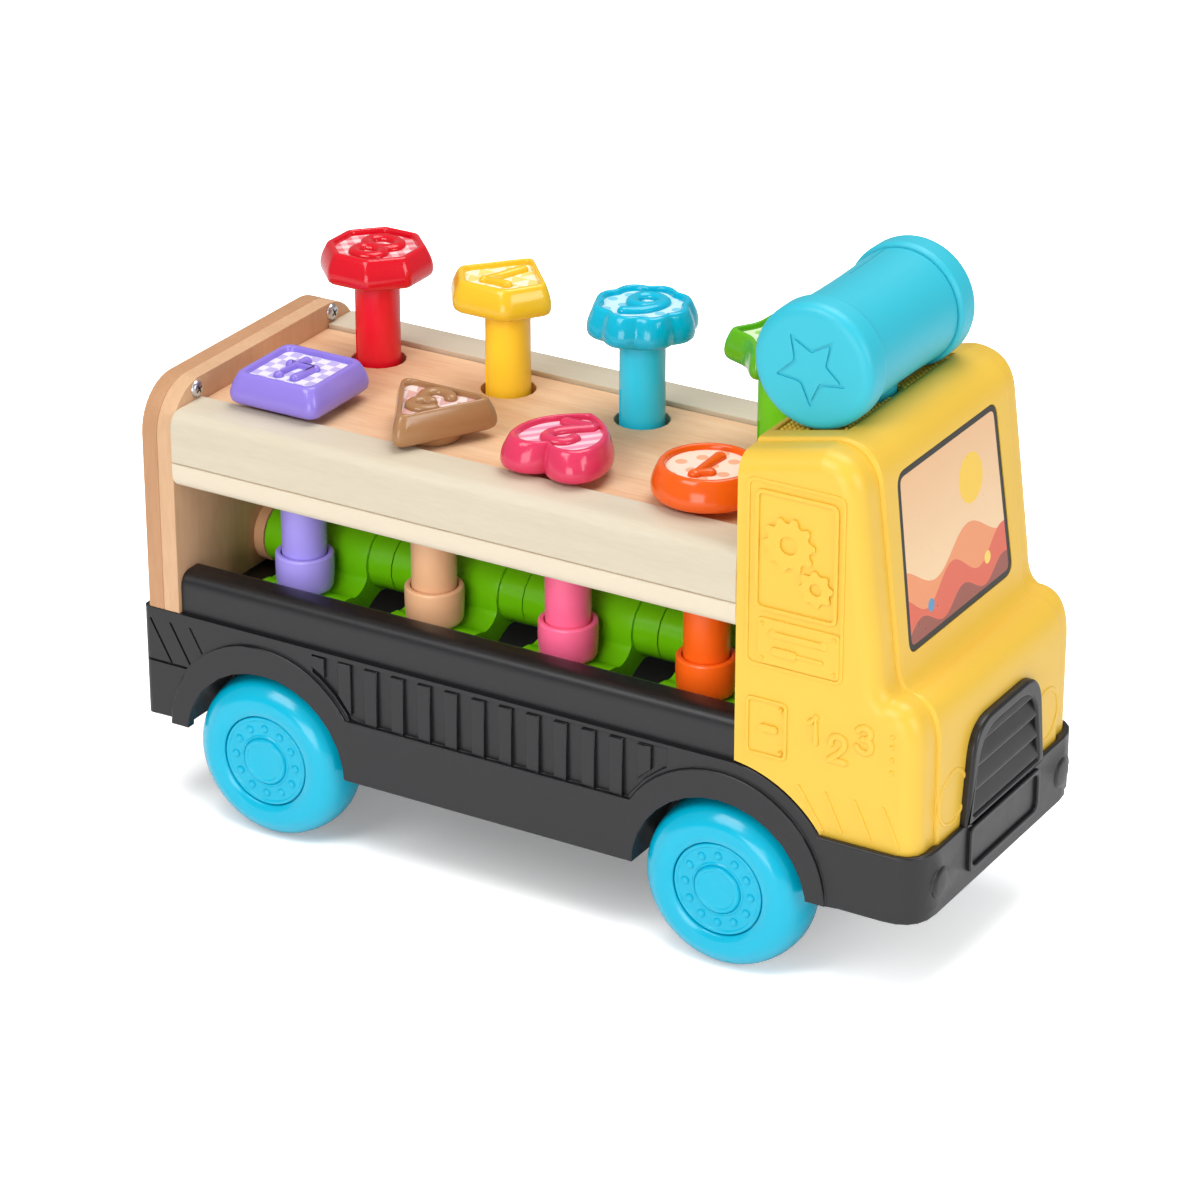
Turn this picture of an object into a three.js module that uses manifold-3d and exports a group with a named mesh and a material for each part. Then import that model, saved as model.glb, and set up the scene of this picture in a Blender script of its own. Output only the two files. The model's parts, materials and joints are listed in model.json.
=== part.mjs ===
// Pounding toy truck: pegs in a wooden bed, rockers under it, and a mallet in the cab roof.
// Millimetres, +X towards the cab, +Z up, z = 0 on the floor, origin under the middle of the truck.
import * as THREE from 'three';
import { mergeVertices } from 'three/addons/utils/BufferGeometryUtils.js';
import Module from 'manifold-3d';

const wasm = await Module();
wasm.setup();

// Fits
const clearance = 0.3;
const restGap = 0.4;

// Whole truck
const truckLength = 311;
const rearOverhang = 51.2;
const frontOverhang = 77.1;
const wall = 2.6;

// Wheels and axles
const wheelRadius = 31;
const wheelFace = 59.4;
const wheelDepth = 18.5;
const tyreBulge = 1.1;
const tyreThickness = 6;
const tyreRound = 10;
const wheelWeb = 3.8;
const hubRadius = 16.8;
const hubThickness = 2;
const hubDiscRadius = 8.8;
const hubDiscRise = 0.9;
const axleRadius = 2.5;
const wheelSegments = 24;

// Chassis tub and base plate
const tubHalf = 58;
const tubBottom = 32;
const tubEndBottom = 35.4;
const tubTailBottom = 37.2;
const sillHeight = 79;
const sillRailHeight = 94;
const sillRailWidth = 14;
const sillRailRound = 5.5;
const sillRailInset = 2;
const archGap = 2.4;
const archRise = 3.7;
const flareWidth = 6.8;
const flareRise = 1.2;
const skirtWidth = 5;
const wheelhouseGap = 2.4;
const wellFloor = 66;
const wellRearLedge = 13;
const wellFrontLedge = 8;
const louvreBottom = 55.3;
const louvreTop = 77.4;
const louvreDepth = 1.4;
const louvreCount = 13;
const louvrePitch = 10.9;
const louvrePhase = -0.04;
const louvreShare = 0.48;
const hazardBottom = 59;
const hazardGrooves = 3;
const hazardPitch = 8.5;
const hazardWidth = 1;
const hazardDepth = 0.8;
const hazardSlant = 0.55;
const plateThickness = 3;
const bearingLength = 10;
const bearingWidth = 16;
const bearingInset = 3;
const bossRadius = 5;
const bossSpan = 46;

// Wooden bed and tailboard
const bedFront = 5;
const tailboardInset = 2.7;
const boardLayer = 6.4;
const tailboardHalf = 57.7;
const tailboardHeight = 163;
const tailboardRound = 18;
const railHalf = 58.5;
const railShelf = 1.4;
const railHeight = 28;
const railRise = 1.8;
const railRound = 6;
const railSeam = 9.6;
const railSeamDepth = 0.5;
const boardSeat = 3.2;
const boardTop = 153.7;
const boardThickness = 12;
const screwSpan = 42;
const screwHeadRadius = 3.2;
const screwHeadRise = 1.5;
const screwRadius = 2;
const screwLength = 11;

// Pegs and rockers
const rearSpacer = 4.2;
const frontSpacer = 2;
const pegSpan = 24.8;
const pegTravel = 29;
const stemRadius = 8;
const holeRadius = 9.8;
const footRadius = 10.5;
const footHeight = 14.4;
const footFloor = 4.4;
const slotWidth = 3;
const slotDepth = 0.9;
const slotBottom = 35;
const slotLength = 18;
const headBossRadius = 10.6;
const headBossHeight = 2.8;
const headHeight = 11.2;
const headRecess = 2;
const rockerHeight = 90;
const rockerHub = 11;
const rockerBody = 12.5;
const rockerReach = 29;
const rockerNose = 7.7;
const rockerTrough = 1.5;
const rockerWidth = 35;
const rodRadius = 4;
const rodSeat = 6;
const spacerRadius = 11.5;

// Cab, grille and bumper
const cabHalf = 57.7;
const cabRound = 7;
const cabFoot = 60;
const cabFrontHalf = 45;
const cabFrontStep = 1.4;
const roofHeight = 190.5;
const roofRise = 6.5;
const roofDepth = 43.74;
const roofRound = 14;
const windscreenLean = 0.1266;
const scuttleHeight = 121.5;
const scuttleRound = 6;
const bonnetDrop = 7.9;
const bonnetRound = 12;
const noseDepth = 68.8;
const noseRound = 17.6;
const socketWall = 2.5;
const socketDepth = 32;
const screenTopHalf = 35.3;
const screenFootHalf = 37.4;
const screenTop = 183.8;
const screenLift = 1.5;
const screenRound = 5;
const screenThickness = 1.5;
const grilleFoot = 62;
const grilleRise = 0.5;
const grilleFootHalf = 29;
const grilleTopHalf = 24;
const grilleRound = 12;
const grilleFrame = 4.6;
const grilleBack = 1;
const grilleThickness = 2.4;
const grilleSlats = 3;
const grilleSlatShare = 0.84;
const bumperHalf = 60.5;
const bumperBottom = 36.4;
const bumperLip = 1.5;
const bumperSkirt = 3.6;
const bumperSkirtInset = 0.6;
const bumperRound = 14;
const bumperTop = 3;
const lampSpan = 46.7;
const lampHeight = 49.7;
const lampRadius = 5.6;
const lampRise = 1.1;
const plateHalf = 26.2;
const plateBottom = 42.5;
const plateHeight = 17;
const plateRim = 1.8;
const plateRise = 1.3;
const plateRound = 3;

// Mallet
const malletDepth = 15;
const malletSink = 0.7;
const cradleMargin = 2;
const capRadius = 21.7;
const capLength = 12;
const capWall = 3;
const barrelHalf = 26;
const barrelEnd = 20.2;
const barrelWaist = 19.7;
const barrelWall = 3;
const handleRadius = 10.5;
const handleLength = 134;
const handleRound = 4;
const handleTop = 8;

// Places worked out from the sizes above
const rearX = -truckLength / 2;
const frontX = truckLength / 2;
const rearAxleX = rearX + rearOverhang;
const frontAxleX = frontX - frontOverhang;
const axleZ = wheelRadius * Math.cos(Math.PI / wheelSegments);
const archZ = axleZ + archRise;
const archRadius = wheelRadius + archGap;
const flareRadius = archRadius + flareWidth;
const skirtRadius = flareRadius + skirtWidth;
const wheelInner = wheelFace - wheelDepth;
const houseHalf = wheelInner - wheelhouseGap;
const tailX = rearX + tailboardInset + 2 * boardLayer;
const cabX = frontAxleX + bedFront;
const pegPitch = (cabX - tailX - rearSpacer - frontSpacer - restGap) / 4;
const hubLength = pegPitch - restGap;
const railTop = boardTop + railRise;
const railBottom = railTop - railHeight;
const railInner = pegSpan + holeRadius + railShelf;
const boardHalf = railInner + boardSeat;
const rockerTilt = Math.asin(pegTravel / 2 / rockerReach);
const footBottom = rockerHeight - pegTravel / 2 + rockerNose + restGap;
const deckHeight = rockerHeight - spacerRadius - clearance;
const stemBottom = footBottom + footFloor;
const stemTop = boardTop + restGap;
const screwHeight = railTop + screwHeadRadius + clearance;
const noseX = cabX + noseDepth;
const bumperX = frontX - plateRise;
const bonnetHeight = scuttleHeight - bonnetDrop;
const noseTop = bonnetHeight - noseRound;
const grilleTop = noseTop + grilleRise;
const screenFoot = scuttleHeight + screenLift;
const browHeight = roofHeight + roofRise;
const browX = cabX + roofDepth - roofRound;
const malletX = cabX + malletDepth;
const malletZ = roofHeight + roofRise * malletDepth / (browX - cabX) + capRadius - malletSink;

const root = new THREE.Group();

// Finishes
const finish = (color, roughness, metalness = 0) =>
  new THREE.MeshStandardMaterial({ color, roughness, metalness });
const blackPlastic = () => finish('#3b3a3d', 0.5);
const wood = () => finish('#d9a878', 0.6);
const paleWood = () => finish('#ece2c8', 0.6);
const bedWood = () => finish('#e6bf97', 0.6);
const yellowPlastic = () => finish('#f3cc3f', 0.4);
const bluePlastic = () => finish('#27c4ec', 0.25);
const malletPlastic = () => finish('#3fc3da', 0.45);
const greenPlastic = () => finish('#79c70f', 0.3);
const steel = () => finish('#b9bcc0', 0.35, 1);

// Solids
function solid(geometry) {
  const bare = new THREE.BufferGeometry();
  bare.setAttribute('position', geometry.getAttribute('position'));
  bare.setIndex(geometry.index);
  const welded = mergeVertices(bare, 1e-4);
  const faces = [];
  for (let i = 0; i < welded.index.count; i += 3) {
    const [a, b, c] = [0, 1, 2].map((k) => welded.index.getX(i + k));
    if (a !== b && b !== c && c !== a) faces.push(a, b, c);
  }
  return new wasm.Manifold(new wasm.Mesh({
    numProp: 3,
    vertProperties: new Float32Array(welded.getAttribute('position').array),
    triVerts: new Uint32Array(faces),
  }));
}

function surface(body) {
  const mesh = body.getMesh();
  const geometry = new THREE.BufferGeometry();
  geometry.setAttribute('position', new THREE.BufferAttribute(mesh.vertProperties, 3));
  geometry.setIndex(new THREE.BufferAttribute(mesh.triVerts, 1));
  geometry.computeVertexNormals();
  return geometry;
}

function add(parent, name, body, material) {
  const mesh = new THREE.Mesh(surface(body), material);
  mesh.name = name;
  parent.add(mesh);
  return mesh;
}

function box(x0, x1, y0, y1, z0, z1) {
  const geometry = new THREE.BoxGeometry(x1 - x0, y1 - y0, z1 - z0);
  geometry.translate((x0 + x1) / 2, (y0 + y1) / 2, (z0 + z1) / 2);
  return solid(geometry);
}

const alongX = new THREE.Matrix4().makeBasis(
  new THREE.Vector3(0, 1, 0), new THREE.Vector3(0, 0, 1), new THREE.Vector3(1, 0, 0));
const alongY = new THREE.Matrix4().makeBasis(
  new THREE.Vector3(1, 0, 0), new THREE.Vector3(0, 0, 1), new THREE.Vector3(0, -1, 0));

function extrude(shape, length, curveSegments, bevel = {}) {
  return new THREE.ExtrudeGeometry(shape, {
    depth: length, curveSegments, bevelEnabled: false, ...bevel,
  });
}

// A section drawn as (y, z), run along X
function prismX(shape, x0, x1, curveSegments = 6) {
  const geometry = extrude(shape, x1 - x0, curveSegments);
  geometry.applyMatrix4(alongX);
  geometry.translate(x0, 0, 0);
  return loose(geometry);
}

// A section drawn as (x, z), run along Y
function prismY(shape, y0, y1, curveSegments = 12) {
  const geometry = extrude(shape, y1 - y0, curveSegments);
  geometry.applyMatrix4(alongY);
  geometry.translate(0, y1, 0);
  return loose(geometry);
}

// A plan drawn as (x, y), run along Z
function prismZ(shape, z0, z1, curveSegments = 6) {
  const geometry = extrude(shape, z1 - z0, curveSegments);
  geometry.translate(0, 0, z0);
  return loose(geometry);
}

function loose(geometry) {
  const count = geometry.getAttribute('position').count;
  if (!geometry.index) geometry.setIndex([...Array(count).keys()]);
  return solid(geometry);
}

function rodX(radius, x0, x1, y, z, segments = 20) {
  const geometry = new THREE.CylinderGeometry(radius, radius, x1 - x0, segments);
  geometry.rotateZ(-Math.PI / 2);
  geometry.translate((x0 + x1) / 2, y, z);
  return solid(geometry);
}

function rodY(radius, y0, y1, x, z, segments = 20) {
  const geometry = new THREE.CylinderGeometry(radius, radius, y1 - y0, segments);
  geometry.translate(x, (y0 + y1) / 2, z);
  return solid(geometry);
}

function rodZ(radius, z0, z1, x, y, segments = 20) {
  const geometry = new THREE.CylinderGeometry(radius, radius, z1 - z0, segments);
  geometry.rotateX(Math.PI / 2);
  geometry.translate(x, y, (z0 + z1) / 2);
  return solid(geometry);
}

// A profile of [radius, height] pairs turned about the Y axis
function turned(profile, segments) {
  const points = profile.map(([r, h]) => new THREE.Vector2(r, h));
  return solid(new THREE.LatheGeometry(points, segments));
}

function upright(body) {
  return body.rotate([90, 0, 0]);
}

function polygon(corners) {
  return new THREE.Shape(corners.map(([a, b]) => new THREE.Vector2(a, b)));
}

// A polygon with every corner rounded by one radius
function rounded(corners, radius) {
  const shape = new THREE.Shape();
  corners.forEach((corner, i) => {
    const here = new THREE.Vector2(...corner);
    const before = new THREE.Vector2(...corners.at(i - 1));
    const after = new THREE.Vector2(...corners[(i + 1) % corners.length]);
    const start = here.clone().add(before.sub(here).setLength(radius));
    const end = here.clone().add(after.sub(here).setLength(radius));
    if (i === 0) shape.moveTo(start.x, start.y);
    else shape.lineTo(start.x, start.y);
    shape.quadraticCurveTo(here.x, here.y, end.x, end.y);
  });
  shape.closePath();
  return shape;
}

const bothSides = [['right', -1], ['left', 1]];

// Chassis tub: a moulded pan with arches, flares, louvred sides and two sill rails
function tubOutline() {
  const shape = new THREE.Shape();
  const top = Math.asin(Math.min(1, (sillHeight - archZ) / skirtRadius));
  const foot = Math.asin((tubEndBottom - archZ) / skirtRadius);
  shape.moveTo(rearX, tubTailBottom);
  shape.lineTo(rearX, sillHeight);
  shape.lineTo(frontAxleX + skirtRadius * Math.cos(top), sillHeight);
  shape.absarc(frontAxleX, archZ, skirtRadius, top, foot, true);
  shape.lineTo(frontAxleX, tubEndBottom);
  shape.lineTo(frontAxleX, tubBottom);
  shape.lineTo(rearAxleX, tubBottom);
  shape.lineTo(rearAxleX, tubTailBottom);
  shape.closePath();
  return shape;
}

function sillRail(side) {
  const inner = side * (tubHalf - sillRailWidth);
  const outer = side * (tubHalf - sillRailInset);
  const shape = new THREE.Shape();
  shape.moveTo(inner, sillHeight - wall);
  shape.lineTo(inner, sillRailHeight - sillRailRound / 2);
  shape.quadraticCurveTo(inner, sillRailHeight, inner + side * sillRailRound / 2, sillRailHeight);
  shape.lineTo(outer - side * sillRailRound, sillRailHeight);
  shape.quadraticCurveTo(outer, sillRailHeight, outer, sillRailHeight - sillRailRound);
  shape.lineTo(outer, sillHeight - wall);
  shape.closePath();
  return prismX(shape, tailX + clearance, cabX - clearance, 5);
}

function flare(x, side) {
  const shape = new THREE.Shape();
  const foot = Math.asin((tubEndBottom - archZ) / flareRadius);
  shape.absarc(x, archZ, flareRadius, foot, Math.PI - foot, false);
  shape.closePath();
  const [y0, y1] = skinSpan(side);
  return prismY(shape, y0, y1, 12);
}

function skinSpan(side) {
  return [side * (tubHalf - wall), side * (tubHalf + flareRise)].sort((a, b) => a - b);
}

function clearOfArches(body, radius) {
  return [rearAxleX, frontAxleX].reduce(
    (rest, x) => rest.subtract(rodY(radius, -tubHalf * 2, tubHalf * 2, x, archZ, 32)), body);
}

function louvres(side) {
  const near = side * (tubHalf - louvreDepth);
  const far = side * (tubHalf + flareRise + wall);
  const middle = (rearAxleX + frontAxleX) / 2;
  const half = louvreCount * louvrePitch / 2;
  const field = box(middle - half, middle + half, Math.min(near, far), Math.max(near, far),
    louvreBottom, louvreTop);
  const recess = clearOfArches(field, flareRadius + louvreDepth);
  const root = near - side * wall / 2;
  let slats = null;
  for (let i = 0; i < louvreCount; i += 1) {
    const x0 = middle - half + louvrePitch * (i + louvrePhase);
    const x1 = x0 + louvrePitch * louvreShare;
    const plan = polygon([[x0, root], [x1, root], [x1, side * tubHalf], [x0, side * tubHalf]]);
    const slat = prismZ(plan, louvreBottom - wall / 2, louvreTop - wall / 3);
    slats = slats ? slats.add(slat) : slat;
  }
  return { recess, slats: clearOfArches(slats, flareRadius + 2 * louvreDepth) };
}

// Slanted grooves and a line under them behind the rear wheel
function hazardPanel(side) {
  const drop = louvreTop - wall - hazardBottom;
  const [y0, y1] = [side * (tubHalf - hazardDepth), side * (tubHalf + wall)].sort((a, b) => a - b);
  let grooves = box(rearX - wall, rearAxleX, y0, y1, hazardBottom - hazardWidth, hazardBottom);
  for (let i = 0; i < hazardGrooves; i += 1) {
    const x = rearX + wall + hazardPitch * i;
    grooves = grooves.add(prismY(polygon([
      [x, louvreTop - wall], [x + hazardWidth, louvreTop - wall],
      [x + hazardWidth + drop * hazardSlant, hazardBottom], [x + drop * hazardSlant, hazardBottom]]), y0, y1));
  }
  return clearOfArches(grooves, flareRadius + hazardDepth);
}

function bossPlaces() {
  const middle = (rearAxleX + frontAxleX) / 2;
  return [-1, 1].flatMap((end) => [-1, 1].map((side) => [middle + end * bossSpan, side * houseHalf / 2]));
}

const plateTop = axleZ + axleRadius + clearance + plateThickness + 1;
const noseWall = frontAxleX + Math.sqrt(skirtRadius ** 2 - (wellFloor - wall - archZ) ** 2) - wall;

function chassisTub() {
  const reach = tubHalf * 2;
  const hollowHalf = houseHalf - wall;
  const floorUnder = wellFloor - wall;
  const houseReach = archRadius + wall;
  let tub = prismY(tubOutline(), -tubHalf, tubHalf, 12);
  for (const [, side] of bothSides) {
    const { recess, slats } = louvres(side);
    tub = tub.add(sillRail(side));
    tub = tub.subtract(recess).add(slats).subtract(hazardPanel(side));
    for (const x of [rearAxleX, frontAxleX]) tub = tub.add(flare(x, side));
    tub = tub.add(box(rearAxleX, frontAxleX, ...skinSpan(side), tubBottom, louvreBottom));
  }
  const wellX0 = tailX + wellRearLedge;
  const wellX1 = cabX - wellFrontLedge;
  const innerHalf = tubHalf - sillRailWidth;
  tub = tub.subtract(box(tailX, cabX, -innerHalf, innerHalf, deckHeight, sillRailHeight));
  tub = tub.subtract(box(wellX0, wellX1, -innerHalf, innerHalf, wellFloor, sillRailHeight));
  tub = tub.subtract(box(rearX + wall, noseWall, -hollowHalf, hollowHalf, 0, floorUnder));
  tub = tub.subtract(box(rearAxleX + houseReach, frontAxleX - houseReach,
    wall - tubHalf + louvreDepth, tubHalf - wall - louvreDepth, 0, floorUnder));
  tub = tub.subtract(box(rearX + wall, rearAxleX - houseReach, wall - tubHalf, tubHalf - wall,
    0, floorUnder));
  for (const x of [rearAxleX, frontAxleX]) {
    for (const [, side] of bothSides) {
      const ends = [side * houseHalf, side * reach].sort((a, b) => a - b);
      tub = tub.subtract(rodY(archRadius, ...ends, x, axleZ, 32));
    }
    tub = tub.subtract(box(x - 2 * axleRadius, x + 2 * axleRadius, -houseHalf - wall, houseHalf + wall,
      0, axleZ + 2 * axleRadius));
  }
  for (const [x, y] of bossPlaces()) {
    tub = tub.add(rodZ(bossRadius, plateTop, floorUnder + wall / 2, x, y, 12));
  }
  return tub;
}

function basePlate() {
  const narrow = houseHalf - wall - clearance;
  const wide = tubHalf - wall - louvreDepth - clearance;
  const houseReach = archRadius + wall + clearance;
  const x0 = rearAxleX - archRadius;
  const x1 = rearAxleX + houseReach;
  const x2 = frontAxleX - houseReach;
  const x3 = noseWall - clearance;
  const half = [[x0, narrow], [x1, narrow], [x1, wide], [x2, wide], [x2, narrow], [x3, narrow]];
  const plan = polygon([...half, ...half.map(([x, y]) => [x, -y]).reverse()]);
  let plate = prismZ(plan, plateTop - plateThickness, plateTop);
  for (const x of [rearAxleX, frontAxleX]) {
    for (const [, side] of bothSides) {
      const ends = [narrow, narrow - bearingLength].map((y) => side * y).sort((a, b) => a - b);
      plate = plate.add(box(x - bearingWidth / 2, x + bearingWidth / 2, ...ends,
        axleZ - axleRadius - bearingInset, plateTop - plateThickness / 2));
    }
    plate = plate.subtract(rodY(axleRadius + clearance, -tubHalf, tubHalf, x, axleZ, 12));
  }
  return plate;
}

// The moulding is parted along the sill rails into a deck and two side skirts
const chassis = chassisTub();
const seam = tubHalf - sillRailWidth;
const across = (y0, y1) => box(rearX - wall, frontX, y0, y1, 0, roofHeight);
add(root, 'chassis_tub', chassis.intersect(across(-seam, seam)), blackPlastic());
for (const [side, sign] of bothSides) {
  const [y0, y1] = [sign * seam, sign * tubHalf * 2].sort((a, b) => a - b);
  add(root, `side_skirt_${side}`, chassis.intersect(across(y0, y1)), blackPlastic());
}
add(root, 'base_plate', basePlate(), blackPlastic());

// Wheels: hollow behind, with a hub disc pressed into the face
function wheelBody() {
  const pocket = -hubThickness - clearance;
  const tread = wheelRadius;
  const inner = -wheelDepth;
  return turned([
    [axleRadius + clearance, pocket], [hubRadius + clearance, pocket], [hubRadius + clearance, -clearance],
    [hubRadius + tyreRound / 2, tyreBulge], [tread - tyreRound / 2, -tyreBulge], [tread, -tyreRound],
    [tread, inner + tyreRound / 3], [tread - tyreRound / 3, inner],
    [tread - tyreThickness, inner], [tread - tyreThickness, pocket - wheelWeb],
    [axleRadius * 3, pocket - wheelWeb], [axleRadius * 3, inner], [axleRadius + clearance, inner],
    [axleRadius + clearance, pocket]].reverse(), wheelSegments);
}

function hubDisc() {
  const seat = -hubThickness - clearance;
  const face = -clearance;
  const disc = hubDiscRadius;
  return turned([
    [0, seat], [hubRadius, seat], [hubRadius, face], [disc + hubDiscRise, face], [disc, face + hubDiscRise],
    [0, face + hubDiscRise]], wheelSegments);
}

for (const [end, x] of [['rear', rearAxleX], ['front', frontAxleX]]) {
  const wheelset = new THREE.Group();
  wheelset.position.set(x, 0, axleZ);
  root.add(wheelset);
  const axleHalf = wheelFace - hubThickness - 2 * clearance;
  add(wheelset, `axle_${end}`, rodY(axleRadius, -axleHalf, axleHalf, 0, 0), steel());
  for (const [side, sign] of bothSides) {
    const corner = new THREE.Group();
    corner.position.y = sign * wheelFace;
    corner.rotation.z = sign > 0 ? 0 : Math.PI;
    wheelset.add(corner);
    add(corner, `wheel_${end}_${side}`, wheelBody().rotate([0, 180 / wheelSegments, 0]), bluePlastic());
    add(corner, `hub_${end}_${side}`, hubDisc(), bluePlastic());
  }
}

// Tailboard: two layers, with screws and the end of the rocker rod in the inner one
function tailboardShape() {
  const shape = new THREE.Shape();
  const half = tailboardHalf;
  const shoulder = tailboardHeight - tailboardRound;
  shape.moveTo(-half, sillHeight);
  shape.lineTo(half, sillHeight);
  shape.lineTo(half, shoulder);
  shape.absarc(half - tailboardRound, shoulder, tailboardRound, 0, Math.PI / 2, false);
  shape.absarc(tailboardRound - half, shoulder, tailboardRound, Math.PI / 2, Math.PI, false);
  shape.closePath();
  return shape;
}

const layerX = tailX - boardLayer;
let innerBoard = prismX(tailboardShape(), layerX, tailX, 5);
let outerBoard = prismX(tailboardShape(), layerX - boardLayer, layerX, 5);
innerBoard = innerBoard.subtract(
  rodX(rodRadius + clearance, tailX - rodSeat, tailX + wall, 0, rockerHeight, 14));
for (const [, side] of bothSides) {
  const hole = rodX(screwRadius + clearance, tailX - screwLength - clearance, tailX + wall,
    side * screwSpan, screwHeight, 8);
  innerBoard = innerBoard.subtract(hole);
  outerBoard = outerBoard.subtract(hole);
}
add(root, 'tailboard_inner', innerBoard, wood());
add(root, 'tailboard_outer', outerBoard, wood());

function screw() {
  return turned([
    [0, -screwLength], [screwRadius, -screwLength + screwRadius], [screwRadius, 0], [screwHeadRadius, 0],
    [screwHeadRadius * 0.75, screwHeadRise * 0.8], [0, screwHeadRise]], 8);
}

for (const [side, sign] of bothSides) {
  const mesh = add(root, `tailboard_screw_${side}`, screw(), steel());
  mesh.rotation.z = -Math.PI / 2;
  mesh.position.set(tailX, sign * screwSpan, screwHeight);
}

// Wooden bed: two rails with a rebate that carries the peg board
function railShape(side) {
  const top = railTop;
  const shelf = boardTop - boardThickness;
  const shape = new THREE.Shape();
  const at = (y) => side * y;
  shape.moveTo(at(railInner), railBottom);
  shape.lineTo(at(railHalf - railRound), railBottom);
  shape.quadraticCurveTo(at(railHalf), railBottom, at(railHalf), railBottom + railRound);
  shape.lineTo(at(railHalf), railBottom + railSeam - railSeamDepth);
  shape.lineTo(at(railHalf - railSeamDepth), railBottom + railSeam);
  shape.lineTo(at(railHalf), railBottom + railSeam + railSeamDepth);
  shape.lineTo(at(railHalf), top - railRound);
  shape.quadraticCurveTo(at(railHalf), top, at(railHalf - railRound), top);
  shape.lineTo(at(boardHalf + clearance), top);
  shape.lineTo(at(boardHalf + clearance), shelf);
  shape.lineTo(at(railInner), shelf);
  shape.closePath();
  return shape;
}

for (const [side, sign] of bothSides) {
  add(root, `rail_${side}`, prismX(railShape(sign), tailX, cabX, 6), paleWood());
}

const pegX = (column) => tailX + rearSpacer + restGap + hubLength / 2 + pegPitch * column;

function pegBoard() {
  const plan = polygon([[tailX, -boardHalf], [cabX, -boardHalf], [cabX, boardHalf], [tailX, boardHalf]]);
  for (let column = 0; column < 4; column += 1) {
    for (const [, side] of bothSides) {
      const hole = new THREE.Path();
      hole.absarc(pegX(column), side * pegSpan, holeRadius, 0, 2 * Math.PI, false);
      plan.holes.push(hole);
    }
  }
  return prismZ(plan, boardTop - boardThickness, boardTop, 9);
}

add(root, 'peg_board', pegBoard(), bedWood());

// Rockers: a hub on the rod and two arms whose round noses lift the peg feet
function rockerShape() {
  const shape = new THREE.Shape();
  const lower = -rockerNose;
  const neck = rockerReach - rockerNose;
  const hubAngle = Math.asin(2 * rockerTrough / rockerBody);
  const hubSide = rockerBody * Math.cos(hubAngle);
  const hubFoot = rockerBody * Math.SQRT1_2;
  const noseStart = Math.PI * 0.78;
  const noseX0 = rockerReach + rockerNose * Math.cos(noseStart);
  const noseZ0 = rockerNose * Math.sin(noseStart);
  shape.absarc(0, 0, rockerBody, Math.PI - hubAngle, hubAngle, true);
  shape.quadraticCurveTo(hubSide + rockerTrough, rockerTrough, hubSide + 3 * rockerTrough, rockerTrough);
  shape.quadraticCurveTo(neck, rockerTrough, noseX0, noseZ0);
  shape.absarc(rockerReach, 0, rockerNose, noseStart, -Math.PI / 2, true);
  shape.lineTo(neck, lower);
  shape.quadraticCurveTo(hubSide, lower, hubFoot, -hubFoot);
  shape.absarc(0, 0, rockerBody, -Math.PI / 4, -3 * Math.PI / 4, true);
  shape.quadraticCurveTo(-hubSide, lower, -neck, lower);
  shape.lineTo(-rockerReach, lower);
  shape.absarc(-rockerReach, 0, rockerNose, -Math.PI / 2, -Math.PI - noseStart, true);
  shape.quadraticCurveTo(-neck, rockerTrough, -hubSide - 3 * rockerTrough, rockerTrough);
  shape.quadraticCurveTo(-hubSide - rockerTrough, rockerTrough, -hubSide, 2 * rockerTrough);
  shape.closePath();
  return shape;
}

function rockerBodySolid() {
  const arms = prismX(rockerShape(), -rockerWidth / 2, rockerWidth / 2, 4);
  const hub = rodX(rockerHub, -hubLength / 2, hubLength / 2, 0, 0, 16);
  return arms.add(hub).subtract(rodX(rodRadius + clearance, -pegPitch, pegPitch, 0, 0, 14));
}

for (let column = 0; column < 4; column += 1) {
  const mesh = add(root, `rocker_${column + 1}`, rockerBodySolid(), greenPlastic());
  mesh.position.set(pegX(column), 0, rockerHeight);
  mesh.rotation.x = rockerTilt;
}

const rodEnd = cabX + wall;
add(root, 'rocker_rod', rodX(rodRadius, tailX - rodSeat + clearance, rodEnd, 0, rockerHeight, 14), steel());

function spacer(x0, x1) {
  return rodX(spacerRadius, x0, x1, 0, rockerHeight)
    .subtract(rodX(rodRadius + clearance, x0 - wall, x1 + wall, 0, rockerHeight, 14));
}

add(root, 'spacer_rear', spacer(tailX, pegX(0) - hubLength / 2 - restGap), wood());
add(root, 'spacer_front', spacer(pegX(3) + hubLength / 2 + restGap, cabX), wood());

// Peg heads: outlines about the stem, drawn at the widest part of the head
const squareHalf = 18.4;
const squareRound = 4.5;
const triangleRadius = 25.5;
const triangleRound = 7;
const circleRadius = 19.2;
const heartHalf = 18.8;
const heartTip = 18.5;
const heartLobe = 19.5;
const heartNotch = 15.5;
const octagonRadius = 20.6;
const octagonRound = 1.5;
const fanHalf = 21;
const fanTip = 19.5;
const fanShoulder = 4;
const fanFoot = 19;
const fanRound = 3.5;
const flowerRadius = 19.6;
const flowerDip = 0.11;
const flowerPetals = 8;
const starRadius = 21.5;
const starInner = 14;
const starRound = 4;

const fullTurn = (count, radiusAt, start = 0) => Array.from({ length: count }, (_, i) => {
  const angle = start + 2 * Math.PI * i / count;
  return [radiusAt(i, angle) * Math.cos(angle), radiusAt(i, angle) * Math.sin(angle)];
});

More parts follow.
